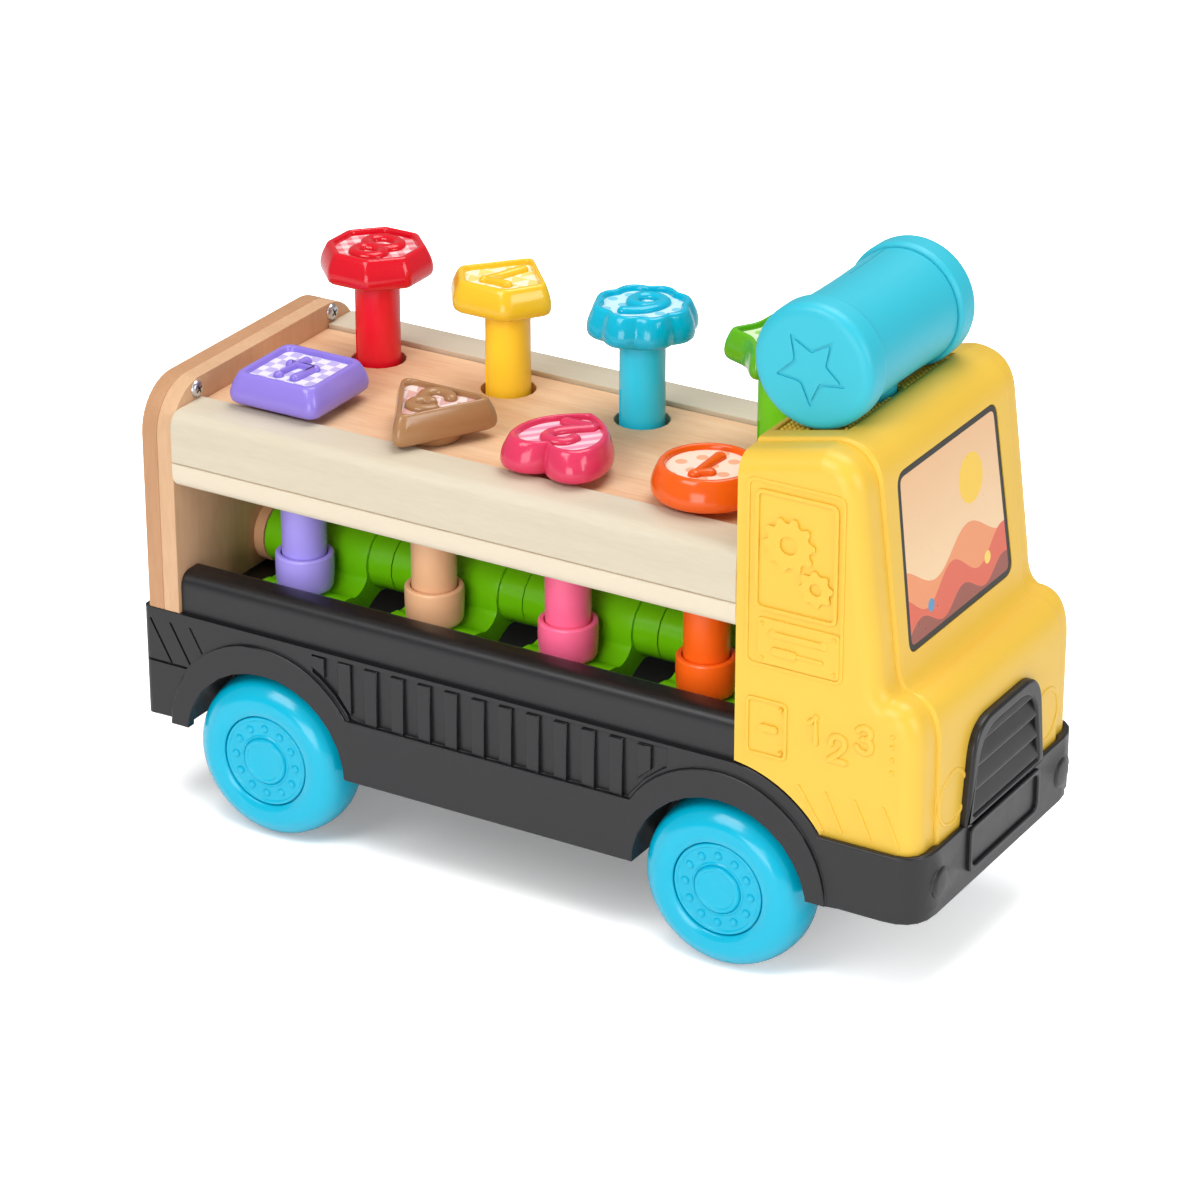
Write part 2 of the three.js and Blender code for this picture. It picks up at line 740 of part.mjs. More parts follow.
function heart() {
  const shape = new THREE.Shape();
  shape.moveTo(0, heartTip);
  const cheek = -heartLobe * 0.4;
  const lobe = -heartLobe * 1.15;
  shape.bezierCurveTo(-heartHalf * 0.5, heartTip * 0.75, -heartHalf, heartTip * 0.3, -heartHalf, cheek);
  shape.bezierCurveTo(-heartHalf, lobe, -heartHalf * 0.3, lobe, 0, -heartNotch);
  shape.bezierCurveTo(heartHalf * 0.3, lobe, heartHalf, lobe, heartHalf, cheek);
  shape.bezierCurveTo(heartHalf, heartTip * 0.3, heartHalf * 0.5, heartTip * 0.75, 0, heartTip);
  return shape.getPoints(6).slice(0, -1);
}

const square = [[-1, -1], [1, -1], [1, 1], [-1, 1]].map(([a, b]) => [a * squareHalf, b * squareHalf]);
const fan = [[fanHalf, -fanShoulder], [0, fanTip], [-fanHalf, -fanShoulder], [-fanHalf / 2, -fanFoot],
  [fanHalf / 2, -fanFoot]];
const petal = (i, angle) =>
  flowerRadius * (1 - flowerDip * (1 - Math.abs(Math.cos(flowerPetals * angle / 2))));
const star = fullTurn(10, (i) => (i % 2 ? starInner : starRadius), -Math.PI / 2);
const corners = (points, radius, steps = 3) => rounded(points, radius).getPoints(steps);
const flat = (points) => points.map(([a, b]) => new THREE.Vector2(a, b));

const pegs = [
  { number: 1, column: 3, side: -1, color: '#f4671c', outline: flat(fullTurn(24, () => circleRadius)) },
  { number: 2, column: 2, side: -1, color: '#ec4573', outline: heart() },
  { number: 3, column: 1, side: -1, color: '#b98a5a', stemColor: '#dfb186',
    outline: corners(fullTurn(3, () => triangleRadius, -Math.PI / 2), triangleRound) },
  { number: 4, column: 0, side: -1, color: '#9a86de', outline: corners(square, squareRound) },
  { number: 5, column: 3, side: 1, color: '#6cbf1a', outline: corners(star, starRound, 2) },
  { number: 6, column: 2, side: 1, color: '#2cb7d8',
    outline: flat(fullTurn(6 * flowerPetals, petal)) },
  { number: 7, column: 1, side: 1, color: '#f5c52a', outline: corners(fan, fanRound) },
  { number: 8, column: 0, side: 1, color: '#e2182c',
    outline: corners(fullTurn(8, () => octagonRadius, Math.PI / 8), octagonRound, 1) },
];

// Rings of one outline, each scaled about the stem or drawn as a circle, skinned into a closed body
function loft(outline, rings) {
  const points = outline.filter((p, i) => p.distanceTo(outline.at(i - 1)) > 1e-3);
  const count = points.length;
  const positions = [];
  for (const { scale, radius, z } of rings) {
    for (const p of points) {
      const k = radius ? radius / p.length() : scale;
      positions.push(p.x * k, p.y * k, z);
    }
  }
  const low = positions.length / 3;
  positions.push(0, 0, rings[0].z, 0, 0, rings.at(-1).z);
  const index = [];
  for (let i = 0; i < count; i += 1) {
    const next = (i + 1) % count;
    index.push(low, next, i);
    for (let k = 0; k + 1 < rings.length; k += 1) {
      const [a, b] = [k * count + i, k * count + next];
      index.push(a, b, b + count, a, b + count, a + count);
    }
    const last = (rings.length - 1) * count;
    index.push(low + 1, last + i, last + next);
  }
  const geometry = new THREE.BufferGeometry();
  geometry.setAttribute('position', new THREE.Float32BufferAttribute(positions, 3));
  geometry.setIndex(index);
  return solid(geometry);
}

function pegHead(outline) {
  const base = stemTop + headBossHeight;
  const top = base + headHeight;
  return loft(outline, [
    { radius: headBossRadius, z: stemTop },
    { radius: headBossRadius, z: base },
    { scale: 0.91, z: base },
    { scale: 1, z: base + headHeight * 0.28 },
    { scale: 0.94, z: base + headHeight * 0.7 },
    { scale: 0.83, z: top },
    { scale: 0.75, z: top },
    { scale: 0.73, z: top - headRecess },
  ]);
}

function pegStem() {
  const stem = rodZ(stemRadius, stemBottom, stemTop, 0, 0, 18);
  const slot = box(slotDepth - stemRadius - wall, slotDepth - stemRadius, -slotWidth / 2, slotWidth / 2,
    footBottom + slotBottom, footBottom + slotBottom + slotLength);
  return stem.subtract(slot.rotate([0, 0, 45]));
}

function pegFoot() {
  const top = footBottom + footHeight;
  const bore = stemRadius + clearance;
  return upright(turned([
    [0, footBottom], [footRadius, footBottom], [footRadius, top], [bore, top], [bore, stemBottom],
    [0, stemBottom]], 18));
}

for (const { number, column, side, color, stemColor, outline } of pegs) {
  const peg = new THREE.Group();
  peg.position.set(pegX(column), side * pegSpan, side > 0 ? pegTravel : 0);
  root.add(peg);
  add(peg, `peg_${number}_head`, pegHead(outline), finish(color, 0.25));
  add(peg, `peg_${number}_stem`, pegStem(), finish(stemColor ?? color, 0.35));
  add(peg, `peg_${number}_foot`, pegFoot(), finish(stemColor ?? color, 0.35));
}

// Cab: a shell whose front panel stands proud of its round corners
const windscreenX = (z) => cabX + roofDepth + (browHeight - z) * windscreenLean;

function cabProfile(inset, step) {
  const shape = new THREE.Shape();
  const back = cabX - 2 * cabRound;
  const foot = cabFoot - 2 * cabRound;
  const lift = step - cabFrontStep - inset;
  const rear = roofHeight + lift - roofRise * 2 * cabRound / (browX - cabX);
  const top = browHeight + lift;
  const front = step - inset;
  const brow = top - roofRound;
  const scuttle = scuttleHeight - inset;
  const bonnet = bonnetHeight - inset;
  const nose = noseX - cabFrontStep + front;
  shape.moveTo(back, foot);
  shape.lineTo(nose, foot);
  shape.lineTo(nose, noseTop);
  shape.quadraticCurveTo(nose, bonnet - inset / 2, nose - bonnetRound, bonnet);
  shape.quadraticCurveTo(windscreenX(scuttle) + front - cabFrontStep, bonnet + scuttleRound / 3,
    windscreenX(scuttle + scuttleRound / 2) + front - cabFrontStep, scuttle + scuttleRound / 2);
  shape.lineTo(windscreenX(brow) + front - cabFrontStep, brow);
  shape.quadraticCurveTo(windscreenX(top) + front - cabFrontStep, top,
    windscreenX(top) + front - cabFrontStep - roofRound, top);
  shape.lineTo(back, rear);
  shape.closePath();
  return shape;
}

function slab(shape, half, round) {
  const geometry = extrude(shape, 2 * (half - round), 5, {
    bevelEnabled: true, bevelThickness: round, bevelSize: round, bevelOffset: -round, bevelSegments: 3,
  });
  geometry.applyMatrix4(alongY);
  geometry.translate(0, half - round, 0);
  return loose(geometry);
}

function cabBody(grow) {
  const sides = slab(cabProfile(-grow, 0), cabHalf + grow, cabRound + grow);
  const front = slab(cabProfile(-grow, cabFrontStep), cabFrontHalf + grow, cabFrontStep);
  return sides.add(front);
}

function screenShape(grow) {
  const half = (screenTop - screenFoot) / 2 / Math.cos(Math.atan(windscreenLean)) + grow;
  return rounded([
    [-screenFootHalf - grow, -half], [screenFootHalf + grow, -half],
    [screenTopHalf + grow, half], [-screenTopHalf - grow, half]], screenRound);
}

const screenMiddle = (screenTop + screenFoot) / 2;
const screenTurn = -Math.atan(windscreenLean) * 180 / Math.PI;

function cabShell() {
  const under = cabX - 4 * cabRound;
  const lining = slab(cabProfile(wall, 0), cabHalf - wall, cabRound - wall)
    .subtract(box(under, cabX + wall, -cabHalf, cabHalf, 0, browHeight));
  const socketRadius = handleRadius + 2 * clearance;
  const cradleHalf = barrelHalf + capLength + cradleMargin;
  const socket = rodZ(socketRadius + socketWall, roofHeight - socketDepth, roofHeight - wall / 2,
    malletX, 0, 24);
  const pocket = prismX(screenShape(clearance), -screenThickness - clearance, wall)
    .rotate([0, screenTurn, 0]).translate([windscreenX(screenMiddle), 0, screenMiddle]);
  return cabBody(0)
    .subtract(lining)
    .subtract(box(under, cabX, -cabHalf, cabHalf, 0, browHeight + wall))
    .subtract(box(under, frontX, -cabHalf, cabHalf, 0, cabFoot))
    .subtract(rodY(skirtRadius + 2 * clearance, -tubHalf, tubHalf, frontAxleX, archZ, 48))
    .add(socket)
    .subtract(rodZ(socketRadius, roofHeight - socketDepth - wall, browHeight + wall, malletX, 0, 24))
    .subtract(rodY(capRadius + clearance, -cradleHalf, cradleHalf, malletX, malletZ, 48))
    .subtract(rodX(rodRadius + clearance, cabX - wall, cabX + 2 * wall, 0, rockerHeight, 14))
    .subtract(pocket);
}

add(root, 'cab_shell', cabShell(), yellowPlastic());

const windscreen = add(root, 'windscreen', prismX(screenShape(0), -screenThickness, 0),
  finish('#eec79e', 0.35));
windscreen.position.set(windscreenX(screenMiddle), 0, screenMiddle);
windscreen.rotation.y = screenTurn * Math.PI / 180;

// Grille: an arched frame with slats over a thin back
function grilleShape(inset) {
  const foot = grilleFoot + inset;
  const top = grilleTop - inset;
  const shoulder = top - grilleRound;
  const topHalf = grilleTopHalf - inset;
  const footHalf = grilleFootHalf - inset;
  const shape = new THREE.Shape();
  shape.moveTo(-footHalf, foot);
  shape.lineTo(footHalf, foot);
  shape.lineTo(topHalf, shoulder);
  shape.quadraticCurveTo(topHalf, top, topHalf - grilleRound, top);
  shape.lineTo(grilleRound - topHalf, top);
  shape.quadraticCurveTo(-topHalf, top, -topHalf, shoulder);
  shape.closePath();
  return shape;
}

function grille() {
  const window = prismX(grilleShape(grilleFrame), noseX + grilleBack, noseX + 2 * grilleThickness);
  let frame = prismX(grilleShape(0), noseX, noseX + grilleThickness).subtract(window);
  const span = grilleTop - grilleFoot - 2 * grilleFrame;
  const pitch = span / grilleSlats;
  for (let i = 0; i < grilleSlats; i += 1) {
    const z = grilleFoot + grilleFrame + pitch * i;
    const head = z + pitch * grilleSlatShare;
    const slat = polygon([[noseX + grilleBack / 2, z], [noseX + grilleThickness * 0.8, z],
      [noseX + grilleBack, head], [noseX + grilleBack / 2, head]]);
    frame = frame.add(prismY(slat, -grilleFootHalf, grilleFootHalf).intersect(
      prismX(grilleShape(grilleFrame / 2), noseX, noseX + grilleThickness)));
  }
  return frame;
}

add(root, 'grille', grille(), blackPlastic());

// Bumper: a pan under the nose, with lamps and a bare plate frame
function bumperPlan(inset) {
  const half = bumperHalf - inset;
  const front = bumperX - inset;
  const back = frontAxleX;
  const round = bumperRound - inset;
  const shape = new THREE.Shape();
  shape.moveTo(back, -half);
  shape.lineTo(front - round, -half);
  shape.quadraticCurveTo(front, -half, front, round - half);
  shape.lineTo(front, half - round);
  shape.quadraticCurveTo(front, half, front - round, half);
  shape.lineTo(back, half);
  shape.closePath();
  return shape;
}

function plateShape(inset) {
  const half = plateHalf - inset;
  const low = plateBottom + inset;
  const high = plateBottom + plateHeight - inset;
  return rounded([[-half, low], [half, low], [half, high], [-half, high]], plateRound);
}

function frontBumper() {
  const top = cabFoot + bumperLip;
  let bumper = prismZ(bumperPlan(0), bumperBottom + bumperSkirt, top, 5)
    .add(prismZ(bumperPlan(bumperSkirtInset), bumperBottom, top - wall, 5))
    .subtract(prismZ(bumperPlan(wall), 0, cabFoot - bumperTop, 5))
    .subtract(cabBody(clearance).intersect(box(0, frontX, -bumperHalf, bumperHalf, cabFoot, browHeight)))
    .subtract(rodY(skirtRadius + 2 * clearance, -bumperHalf - wall, bumperHalf + wall,
      frontAxleX, archZ, 48));
  for (const [, side] of bothSides) {
    const lamp = new THREE.SphereGeometry(lampRadius, 10, 6);
    lamp.scale(lampRise / lampRadius * 2, 1, 1);
    lamp.translate(bumperX - lampRise, side * lampSpan, lampHeight);
    bumper = bumper.add(solid(lamp));
  }
  const rim = prismX(plateShape(0), bumperX - wall / 2, frontX)
    .subtract(prismX(plateShape(plateRim), bumperX, frontX + wall));
  return bumper.add(rim);
}

add(root, 'front_bumper', frontBumper(), blackPlastic());

// Mallet: barrel, two caps and a handle down through the roof socket
function barrel() {
  const profile = [];
  const steps = 4;
  for (let i = 0; i <= steps; i += 1) {
    const share = 2 * i / steps - 1;
    profile.push([barrelWaist + (barrelEnd - barrelWaist) * share * share, barrelHalf * share]);
  }
  const inner = barrelWaist - barrelWall;
  return turned([...profile, [inner, barrelHalf], [inner, -barrelHalf], profile[0]], 24)
    .subtract(rodZ(handleRadius + clearance, -2 * barrelEnd, 0, 0, 0, 24));
}

function malletCap() {
  const lip = barrelHalf + capLength;
  const inner = barrelWaist - barrelWall;
  return turned([
    [0, lip - capWall], [inner, lip - capWall], [inner, barrelHalf], [barrelEnd, barrelHalf],
    [capRadius, barrelHalf + capLength * 0.05], [capRadius, barrelHalf + capLength * 0.4],
    [capRadius * 0.98, lip - capLength * 0.14], [capRadius * 0.91, lip], [0, lip]], 24);
}

function handle() {
  const foot = handleTop - handleLength;
  return upright(turned([
    [0, foot], [handleRadius - handleRound, foot], [handleRadius, foot + handleRound],
    [handleRadius, handleTop], [0, handleTop]], 24));
}

const mallet = new THREE.Group();
mallet.position.set(malletX, 0, malletZ);
root.add(mallet);
add(mallet, 'mallet_barrel', barrel(), malletPlastic());
add(mallet, 'mallet_handle', handle(), malletPlastic());
for (const [side, sign] of bothSides) {
  const cap = add(mallet, `mallet_cap_${side}`, malletCap(), malletPlastic());
  cap.rotation.x = sign > 0 ? 0 : Math.PI;
}

export default root;
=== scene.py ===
import json
import math
import bpy
from mathutils import Matrix, Vector

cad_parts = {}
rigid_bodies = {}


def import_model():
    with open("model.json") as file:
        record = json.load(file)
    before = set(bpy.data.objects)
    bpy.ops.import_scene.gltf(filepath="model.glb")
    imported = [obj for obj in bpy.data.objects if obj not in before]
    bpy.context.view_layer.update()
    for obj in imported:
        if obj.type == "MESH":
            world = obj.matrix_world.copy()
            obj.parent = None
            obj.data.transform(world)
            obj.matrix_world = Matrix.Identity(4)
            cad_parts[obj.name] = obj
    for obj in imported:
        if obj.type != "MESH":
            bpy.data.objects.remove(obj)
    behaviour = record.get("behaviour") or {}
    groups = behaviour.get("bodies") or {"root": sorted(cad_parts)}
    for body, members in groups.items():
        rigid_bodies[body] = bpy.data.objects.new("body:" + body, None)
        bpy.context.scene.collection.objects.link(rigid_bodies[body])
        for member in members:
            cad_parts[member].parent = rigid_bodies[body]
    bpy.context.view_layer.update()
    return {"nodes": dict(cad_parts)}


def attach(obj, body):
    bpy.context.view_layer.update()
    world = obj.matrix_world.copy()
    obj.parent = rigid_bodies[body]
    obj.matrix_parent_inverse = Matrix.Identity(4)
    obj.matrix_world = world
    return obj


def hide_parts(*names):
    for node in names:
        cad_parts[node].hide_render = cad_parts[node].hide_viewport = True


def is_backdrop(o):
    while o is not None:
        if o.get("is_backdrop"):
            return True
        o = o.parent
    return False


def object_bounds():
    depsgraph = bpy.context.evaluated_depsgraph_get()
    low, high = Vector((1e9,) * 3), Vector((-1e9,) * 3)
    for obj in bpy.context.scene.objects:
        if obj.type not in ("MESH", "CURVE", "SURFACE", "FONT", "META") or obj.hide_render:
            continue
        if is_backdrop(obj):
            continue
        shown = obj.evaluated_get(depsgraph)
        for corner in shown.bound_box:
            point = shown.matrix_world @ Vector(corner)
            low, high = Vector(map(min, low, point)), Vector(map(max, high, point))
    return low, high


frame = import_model()
scene = bpy.context.scene
mm = 0.001
weld = dict(made=0.00001, cad=0.00002)
flatAngle = math.radians(0.5)
axisOf = {"X": Vector((1, 0, 0)), "Y": Vector((0, 1, 0)), "Z": Vector((0, 0, 1))}
sides = {"right": -1, "left": 1}
print("frame loaded")


# handling of pieces
def deselectAll():
    bpy.ops.object.select_all(action="DESELECT")


def makeActive(obj):
    if bpy.context.object and bpy.context.object.mode != "OBJECT":
        bpy.ops.object.mode_set(mode="OBJECT")
    deselectAll()
    obj.select_set(True)
    bpy.context.view_layer.objects.active = obj


def added(name):
    obj = bpy.context.object
    obj.name = name
    return obj


def pick(obj, kind, test):
    makeActive(obj)
    mesh = obj.data
    for items in (mesh.vertices, mesh.edges, mesh.polygons):
        items.foreach_set("select", [False] * len(items))
    if kind == "FACE":
        for face in mesh.polygons:
            face.select = test(face.center, face.normal)
    if kind == "EDGE":
        for edge in mesh.edges:
            edge.select = test(*[mesh.vertices[i].co for i in edge.vertices])
    bpy.context.tool_settings.mesh_select_mode = (False, kind == "EDGE", kind == "FACE")
    bpy.ops.object.mode_set(mode="EDIT")


def editAll(obj):
    makeActive(obj)
    bpy.ops.object.mode_set(mode="EDIT")
    bpy.ops.mesh.select_all(action="SELECT")


def leaveEdit():
    bpy.ops.object.mode_set(mode="OBJECT")


def roundEdges(obj, test, offset, segments):
    pick(obj, "EDGE", test)
    bpy.ops.mesh.bevel(offset=offset * mm, segments=segments, profile=0.5, clamp_overlap=False)
    leaveEdit()


def tidyMesh(obj):
    editAll(obj)
    bpy.ops.mesh.remove_doubles(threshold=weld["made"])
    bpy.ops.mesh.normals_make_consistent(inside=False)
    leaveEdit()


def applyModifier(obj, kind, **values):
    makeActive(obj)
    modifier = obj.modifiers.new(kind.lower(), kind)
    for key, value in values.items():
        setattr(modifier, key, value)
    bpy.ops.object.modifier_apply(modifier=modifier.name)


def softEdges(obj, width, angle=40, segments=3):
    applyModifier(obj, "BEVEL", width=width * mm, segments=segments, limit_method="ANGLE",
                  angle_limit=math.radians(angle), use_clamp_overlap=True, harden_normals=False)


def smooth(obj, angle=40, weighted=True):
    makeActive(obj)
    bpy.ops.object.shade_smooth_by_angle(angle=math.radians(angle))
    if weighted:
        applyModifier(obj, "WEIGHTED_NORMAL", keep_sharp=True, weight=60)


def combine(obj, other, operation):
    applyModifier(obj, "BOOLEAN", object=other, operation=operation, solver="EXACT")
    bpy.data.objects.remove(other)


def cutAway(obj, cutter):
    combine(obj, cutter, "DIFFERENCE")


def joinAll(name, pieces):
    makeActive(pieces[0])
    for piece in pieces:
        piece.select_set(True)
    if len(pieces) > 1:
        bpy.ops.object.join()
    pieces[0].name = name
    return pieces[0]


def copyPiece(obj, name, matrix):
    made = bpy.data.objects.new(name, obj.data.copy())
    scene.collection.objects.link(made)
    made.data.transform(matrix)
    return made


def cadCopy(node, name, width=0.5, angle=35, segments=3):
    made = bpy.data.objects.new(name, frame["nodes"][node].data.copy())
    scene.collection.objects.link(made)
    made.data.materials.clear()
    editAll(made)
    bpy.ops.mesh.remove_doubles(threshold=weld["cad"])
    bpy.ops.mesh.dissolve_limited(angle_limit=flatAngle)
    leaveEdit()
    if width:
        softEdges(made, width, angle, segments)
    smooth(made, angle)
    return made


def settle(obj, body, slotName, look, *nodes):
    obj.data.materials.clear()
    obj.data.materials.append(look)
    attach(obj, body)
    if nodes:
        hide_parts(*nodes)
    return obj


# shapes, all sizes in millimetres
def shifted(x, y, z):
    return Matrix.Translation((x * mm, y * mm, z * mm))


def facing(sign, axis="Z"):
    return Matrix.Identity(4) if sign > 0 else Matrix.Rotation(math.pi, 4, axis)


def quadPoints(a, b, c, steps):
    a, b, c = Vector(a), Vector(b), Vector(c)
    return [tuple(a * (1 - t) ** 2 + b * 2 * t * (1 - t) + c * t * t)
            for t in (k / steps for k in range(steps + 1))]


def bezierPoints(points, steps):
    a, b, c, d = (Vector(p) for p in points)
    return [tuple(a * (1 - t) ** 3 + b * 3 * t * (1 - t) ** 2 + c * 3 * t * t * (1 - t) + d * t ** 3)
            for t in (k / steps for k in range(steps))]


def softCorners(points, size=1.0, steps=4):
    out = []
    for i, point in enumerate(points):
        here = Vector(point[:2])
        before = Vector(points[i - 1][:2]) - here
        after = Vector(points[(i + 1) % len(points)][:2]) - here
        reach = min(point[2] if len(point) > 2 else size, before.length * 0.49, after.length * 0.49)
        if reach < 0.001:
            out.append(tuple(here))
            continue
        out += quadPoints(here + before.normalized() * reach, here, here + after.normalized() * reach, steps)
    return out


def polar(count, radius, start=0.0):
    turn = [start + 2 * math.pi * i / count for i in range(count)]
    return [(radius(i, a) * math.cos(a), radius(i, a) * math.sin(a)) for i, a in enumerate(turn)]


def flatOutline(name, points, place):
    deselectAll()
    bpy.ops.mesh.primitive_circle_add(vertices=len(points), radius=0.01, fill_type="NGON")
    obj = added(name)
    for vertex, point in zip(obj.data.vertices, points):
        vertex.co = Vector(place(*point)) * mm
    return obj


def pushOut(name, points, axis, start, depth):
    obj = flatOutline(name, points, lambda a, b: (start, a, b) if axis == "X" else (a, start, b))
    editAll(obj)
    bpy.ops.mesh.extrude_region_move(TRANSFORM_OT_translate={"value": tuple(axisOf[axis] * depth * mm)})
    leaveEdit()
    tidyMesh(obj)
    return obj


def spinProfile(name, profile, axis, centre, steps=64):
    direction = axisOf[axis]
    across = axisOf["X"] if axis != "X" else axisOf["Y"]
    deselectAll()
    bpy.ops.mesh.primitive_circle_add(vertices=len(profile), radius=0.01)
    obj = added(name)
    middle = Vector(centre) * mm
    for vertex, (radius, height) in zip(obj.data.vertices, profile):
        vertex.co = middle + (across * radius + direction * height) * mm
    editAll(obj)
    bpy.ops.mesh.spin(steps=steps, angle=2 * math.pi, center=middle, axis=direction)
    leaveEdit()
    tidyMesh(obj)
    return obj


def ringStack(name, outline, rings, centre):
    x0, y0 = centre
    scale, height = rings[0]
    obj = flatOutline(name, outline, lambda x, y: (x0 + x * scale, y0 + y * scale, height))
    editAll(obj)
    for nextScale, nextHeight in rings[1:]:
        lift = (0, 0, (nextHeight - height) * mm)
        bpy.ops.mesh.extrude_region_move(TRANSFORM_OT_translate={"value": lift})
        grow = nextScale / scale
        bpy.ops.transform.resize(value=(grow, grow, 1), center_override=(x0 * mm, y0 * mm, nextHeight * mm))
        scale, height = nextScale, nextHeight
    leaveEdit()
    tidyMesh(obj)
    return obj


def rod(name, radius, axis, centre, length, vertices=64):
    deselectAll()
    turn = (math.pi / 2, 0, 0) if axis == "Y" else (0, 0, 0)
    bpy.ops.mesh.primitive_cylinder_add(vertices=vertices, radius=radius * mm, depth=length * mm,
                                        location=Vector(centre) * mm, rotation=turn)
    bpy.ops.object.transform_apply(location=True, rotation=True, scale=True)
    return added(name)


def block(name, low, high):
    deselectAll()
    size = Vector(high) - Vector(low)
    bpy.ops.mesh.primitive_cube_add(size=1, location=(Vector(low) + size / 2) * mm, scale=size * mm)
    bpy.ops.object.transform_apply(location=True, rotation=True, scale=True)
    return added(name)


def sideBlock(name, sign, low, high):
    near, far = sorted((sign * low[1], sign * high[1]))
    return block(name, (low[0], near, low[2]), (high[0], far, high[2]))


strokeSpan = 12.8
strokes = {
    "1": ("POLY", [(-2.4, 3.6), (0.4, 6.4), (0.4, -6.4)]),
    "2": ("NURBS", [(-3.7, 2.6), (-3.5, 6.0), (0, 7.4), (3.8, 6.2), (4.2, 2.6), (1.6, -1.2), (-4.6, -6.6),
                    (-4.2, -6.4), (4.2, -6.4)]),
    "3": ("NURBS", [(-3.6, 4.6), (-2.0, 7.0), (2.8, 7.0), (4.4, 3.6), (2.2, 0.6), (-0.8, 0.5), (-0.8, 0.5),
                    (3.2, 0.4), (4.8, -3.4), (2.8, -7.2), (-2.4, -7.2), (-4.0, -4.6)]),
    "4": ("POLY", [(-2.6, 6.0), (-3.8, -2.4), (4.4, -2.4), (2.2, -2.4), (2.8, 6.2), (1.8, -6.4)]),
    "5": ("NURBS", [(3.4, 6.2), (-2.6, 6.2), (-2.6, 6.2), (-3.2, 0.6), (-3.2, 0.6), (0.2, 2.6), (4.2, 1.4),
                    (4.8, -3.4), (2.4, -7.2), (-2.2, -7.0), (-3.9, -4.6)]),
    "6": ("NURBS", [(2.4, 6.2), (-1.6, 4.4), (-4.4, -0.6), (-4.6, -5.2), (-1.6, -7.2), (2.4, -7.2),
                    (4.6, -4.4), (4.0, -0.4), (0.8, 1.2), (-2.4, 0.2), (-3.8, -2.4)]),
    "7": ("POLY", [(-3.8, 6.2), (3.9, 6.2), (1.4, 1.4), (-1.2, -6.4)]),
    "8": ("NURBS", [(0, 0.5), (-3.6, 1.2), (-4.2, 5.0), (-2.0, 7.2), (2.0, 7.2), (4.2, 5.0), (3.6, 1.2),
                    (0, 0.5), (-4.4, -0.8), (-5.0, -4.6), (-2.4, -7.2), (2.4, -7.2), (5.0, -4.6), (4.4, -0.8),
                    (0, 0.5)]),
}


def digit(name, text, height, radius, rise):
    kind, points = strokes[text]
    grow = (height - 2 * radius) / strokeSpan
    deselectAll()
    bpy.ops.curve.primitive_nurbs_path_add()
    curve = added(name).data
    curve.splines.clear()
    spline = curve.splines.new(kind)
    spline.points.add(len(points) - 1)
    for point, (x, y) in zip(spline.points, points):
        point.co = (x * grow * mm, y * grow * mm, 0, 1)
    if kind == "NURBS":
        spline.order_u = 3
        spline.use_endpoint_u = True
        spline.resolution_u = 6
    curve.dimensions = "3D"
    curve.bevel_depth = radius * mm
    curve.bevel_resolution = 4
    curve.use_fill_caps = True
    bpy.ops.object.convert(target="MESH")
    parts = [bpy.context.object]
    ends = [points[0], points[-1]] + (points[1:-1] if kind == "POLY" else [])
    for x, y in ends:
        deselectAll()
        bpy.ops.mesh.primitive_uv_sphere_add(segments=20, ring_count=12, radius=radius * mm,
                                             location=(x * grow * mm, y * grow * mm, 0))
        bpy.ops.object.transform_apply(location=True, rotation=True, scale=True)
        parts.append(bpy.context.object)
    obj = joinAll(name, parts)
    obj.data.transform(Matrix.Diagonal((1, 1, rise / radius, 1)))
    tidyMesh(obj)
    smooth(obj, 60, False)
    return obj


# building of finishes, with the effects that several of them share
def paint(colour):
    shares = [c / 255 for c in colour]
    return (*[s / 12.92 if s <= 0.04045 else ((s + 0.055) / 1.055) ** 2.4 for s in shares], 1)


def newGroup(name, **inputs):
    group = bpy.data.node_groups.new(name, "ShaderNodeTree")
    outputs = {"Colour": "Color", "Roughness": "Float", "Height": "Float"}
    for way, sockets in (("INPUT", inputs), ("OUTPUT", outputs)):
        for label, kind in sockets.items():
            group.interface.new_socket(label, in_out=way, socket_type="NodeSocket" + kind)
    return group, group.nodes.new("NodeGroupInput").outputs, group.nodes.new("NodeGroupOutput").inputs


def feed(tree, socket, value):
    if hasattr(value, "is_linked"):
        tree.links.new(value, socket)
    else:
        socket.default_value = value


def feedAll(tree, sockets, values):
    for label, value in values.items():
        feed(tree, sockets[label], value)


def mathNode(tree, operation, *values):
    node = tree.nodes.new("ShaderNodeMath")
    node.operation = operation
    for socket, value in zip(node.inputs, values):
        feed(tree, socket, value)
    return node.outputs[0]


def scaled(tree, value, gain, offset):
    return mathNode(tree, "ADD", mathNode(tree, "MULTIPLY", value, gain), offset)


def farSquared(tree, values, centre):
    squares = []
    for value, middle in zip(values, centre):
        away = mathNode(tree, "ABSOLUTE", mathNode(tree, "SUBTRACT", value, middle))
        squares.append(mathNode(tree, "POWER", away, 2.0))
    return mathNode(tree, "ADD", *squares)


def mixColour(tree, factor, first, second):
    node = tree.nodes.new("ShaderNodeMix")
    node.data_type = "RGBA"
    for socket, value in ((node.inputs[0], factor), (node.inputs[6], first), (node.inputs[7], second)):
        feed(tree, socket, value)
    return node.outputs[2]


def mapRange(tree, value, ends, kind="LINEAR"):
    node = tree.nodes.new("ShaderNodeMapRange")
    node.interpolation_type = kind
    feedAll(tree, node.inputs, {"Value": value, **ends})
    return node.outputs[0]


def splitAxes(tree, vector):
    node = tree.nodes.new("ShaderNodeSeparateXYZ")
    tree.links.new(vector, node.inputs[0])
    return node.outputs


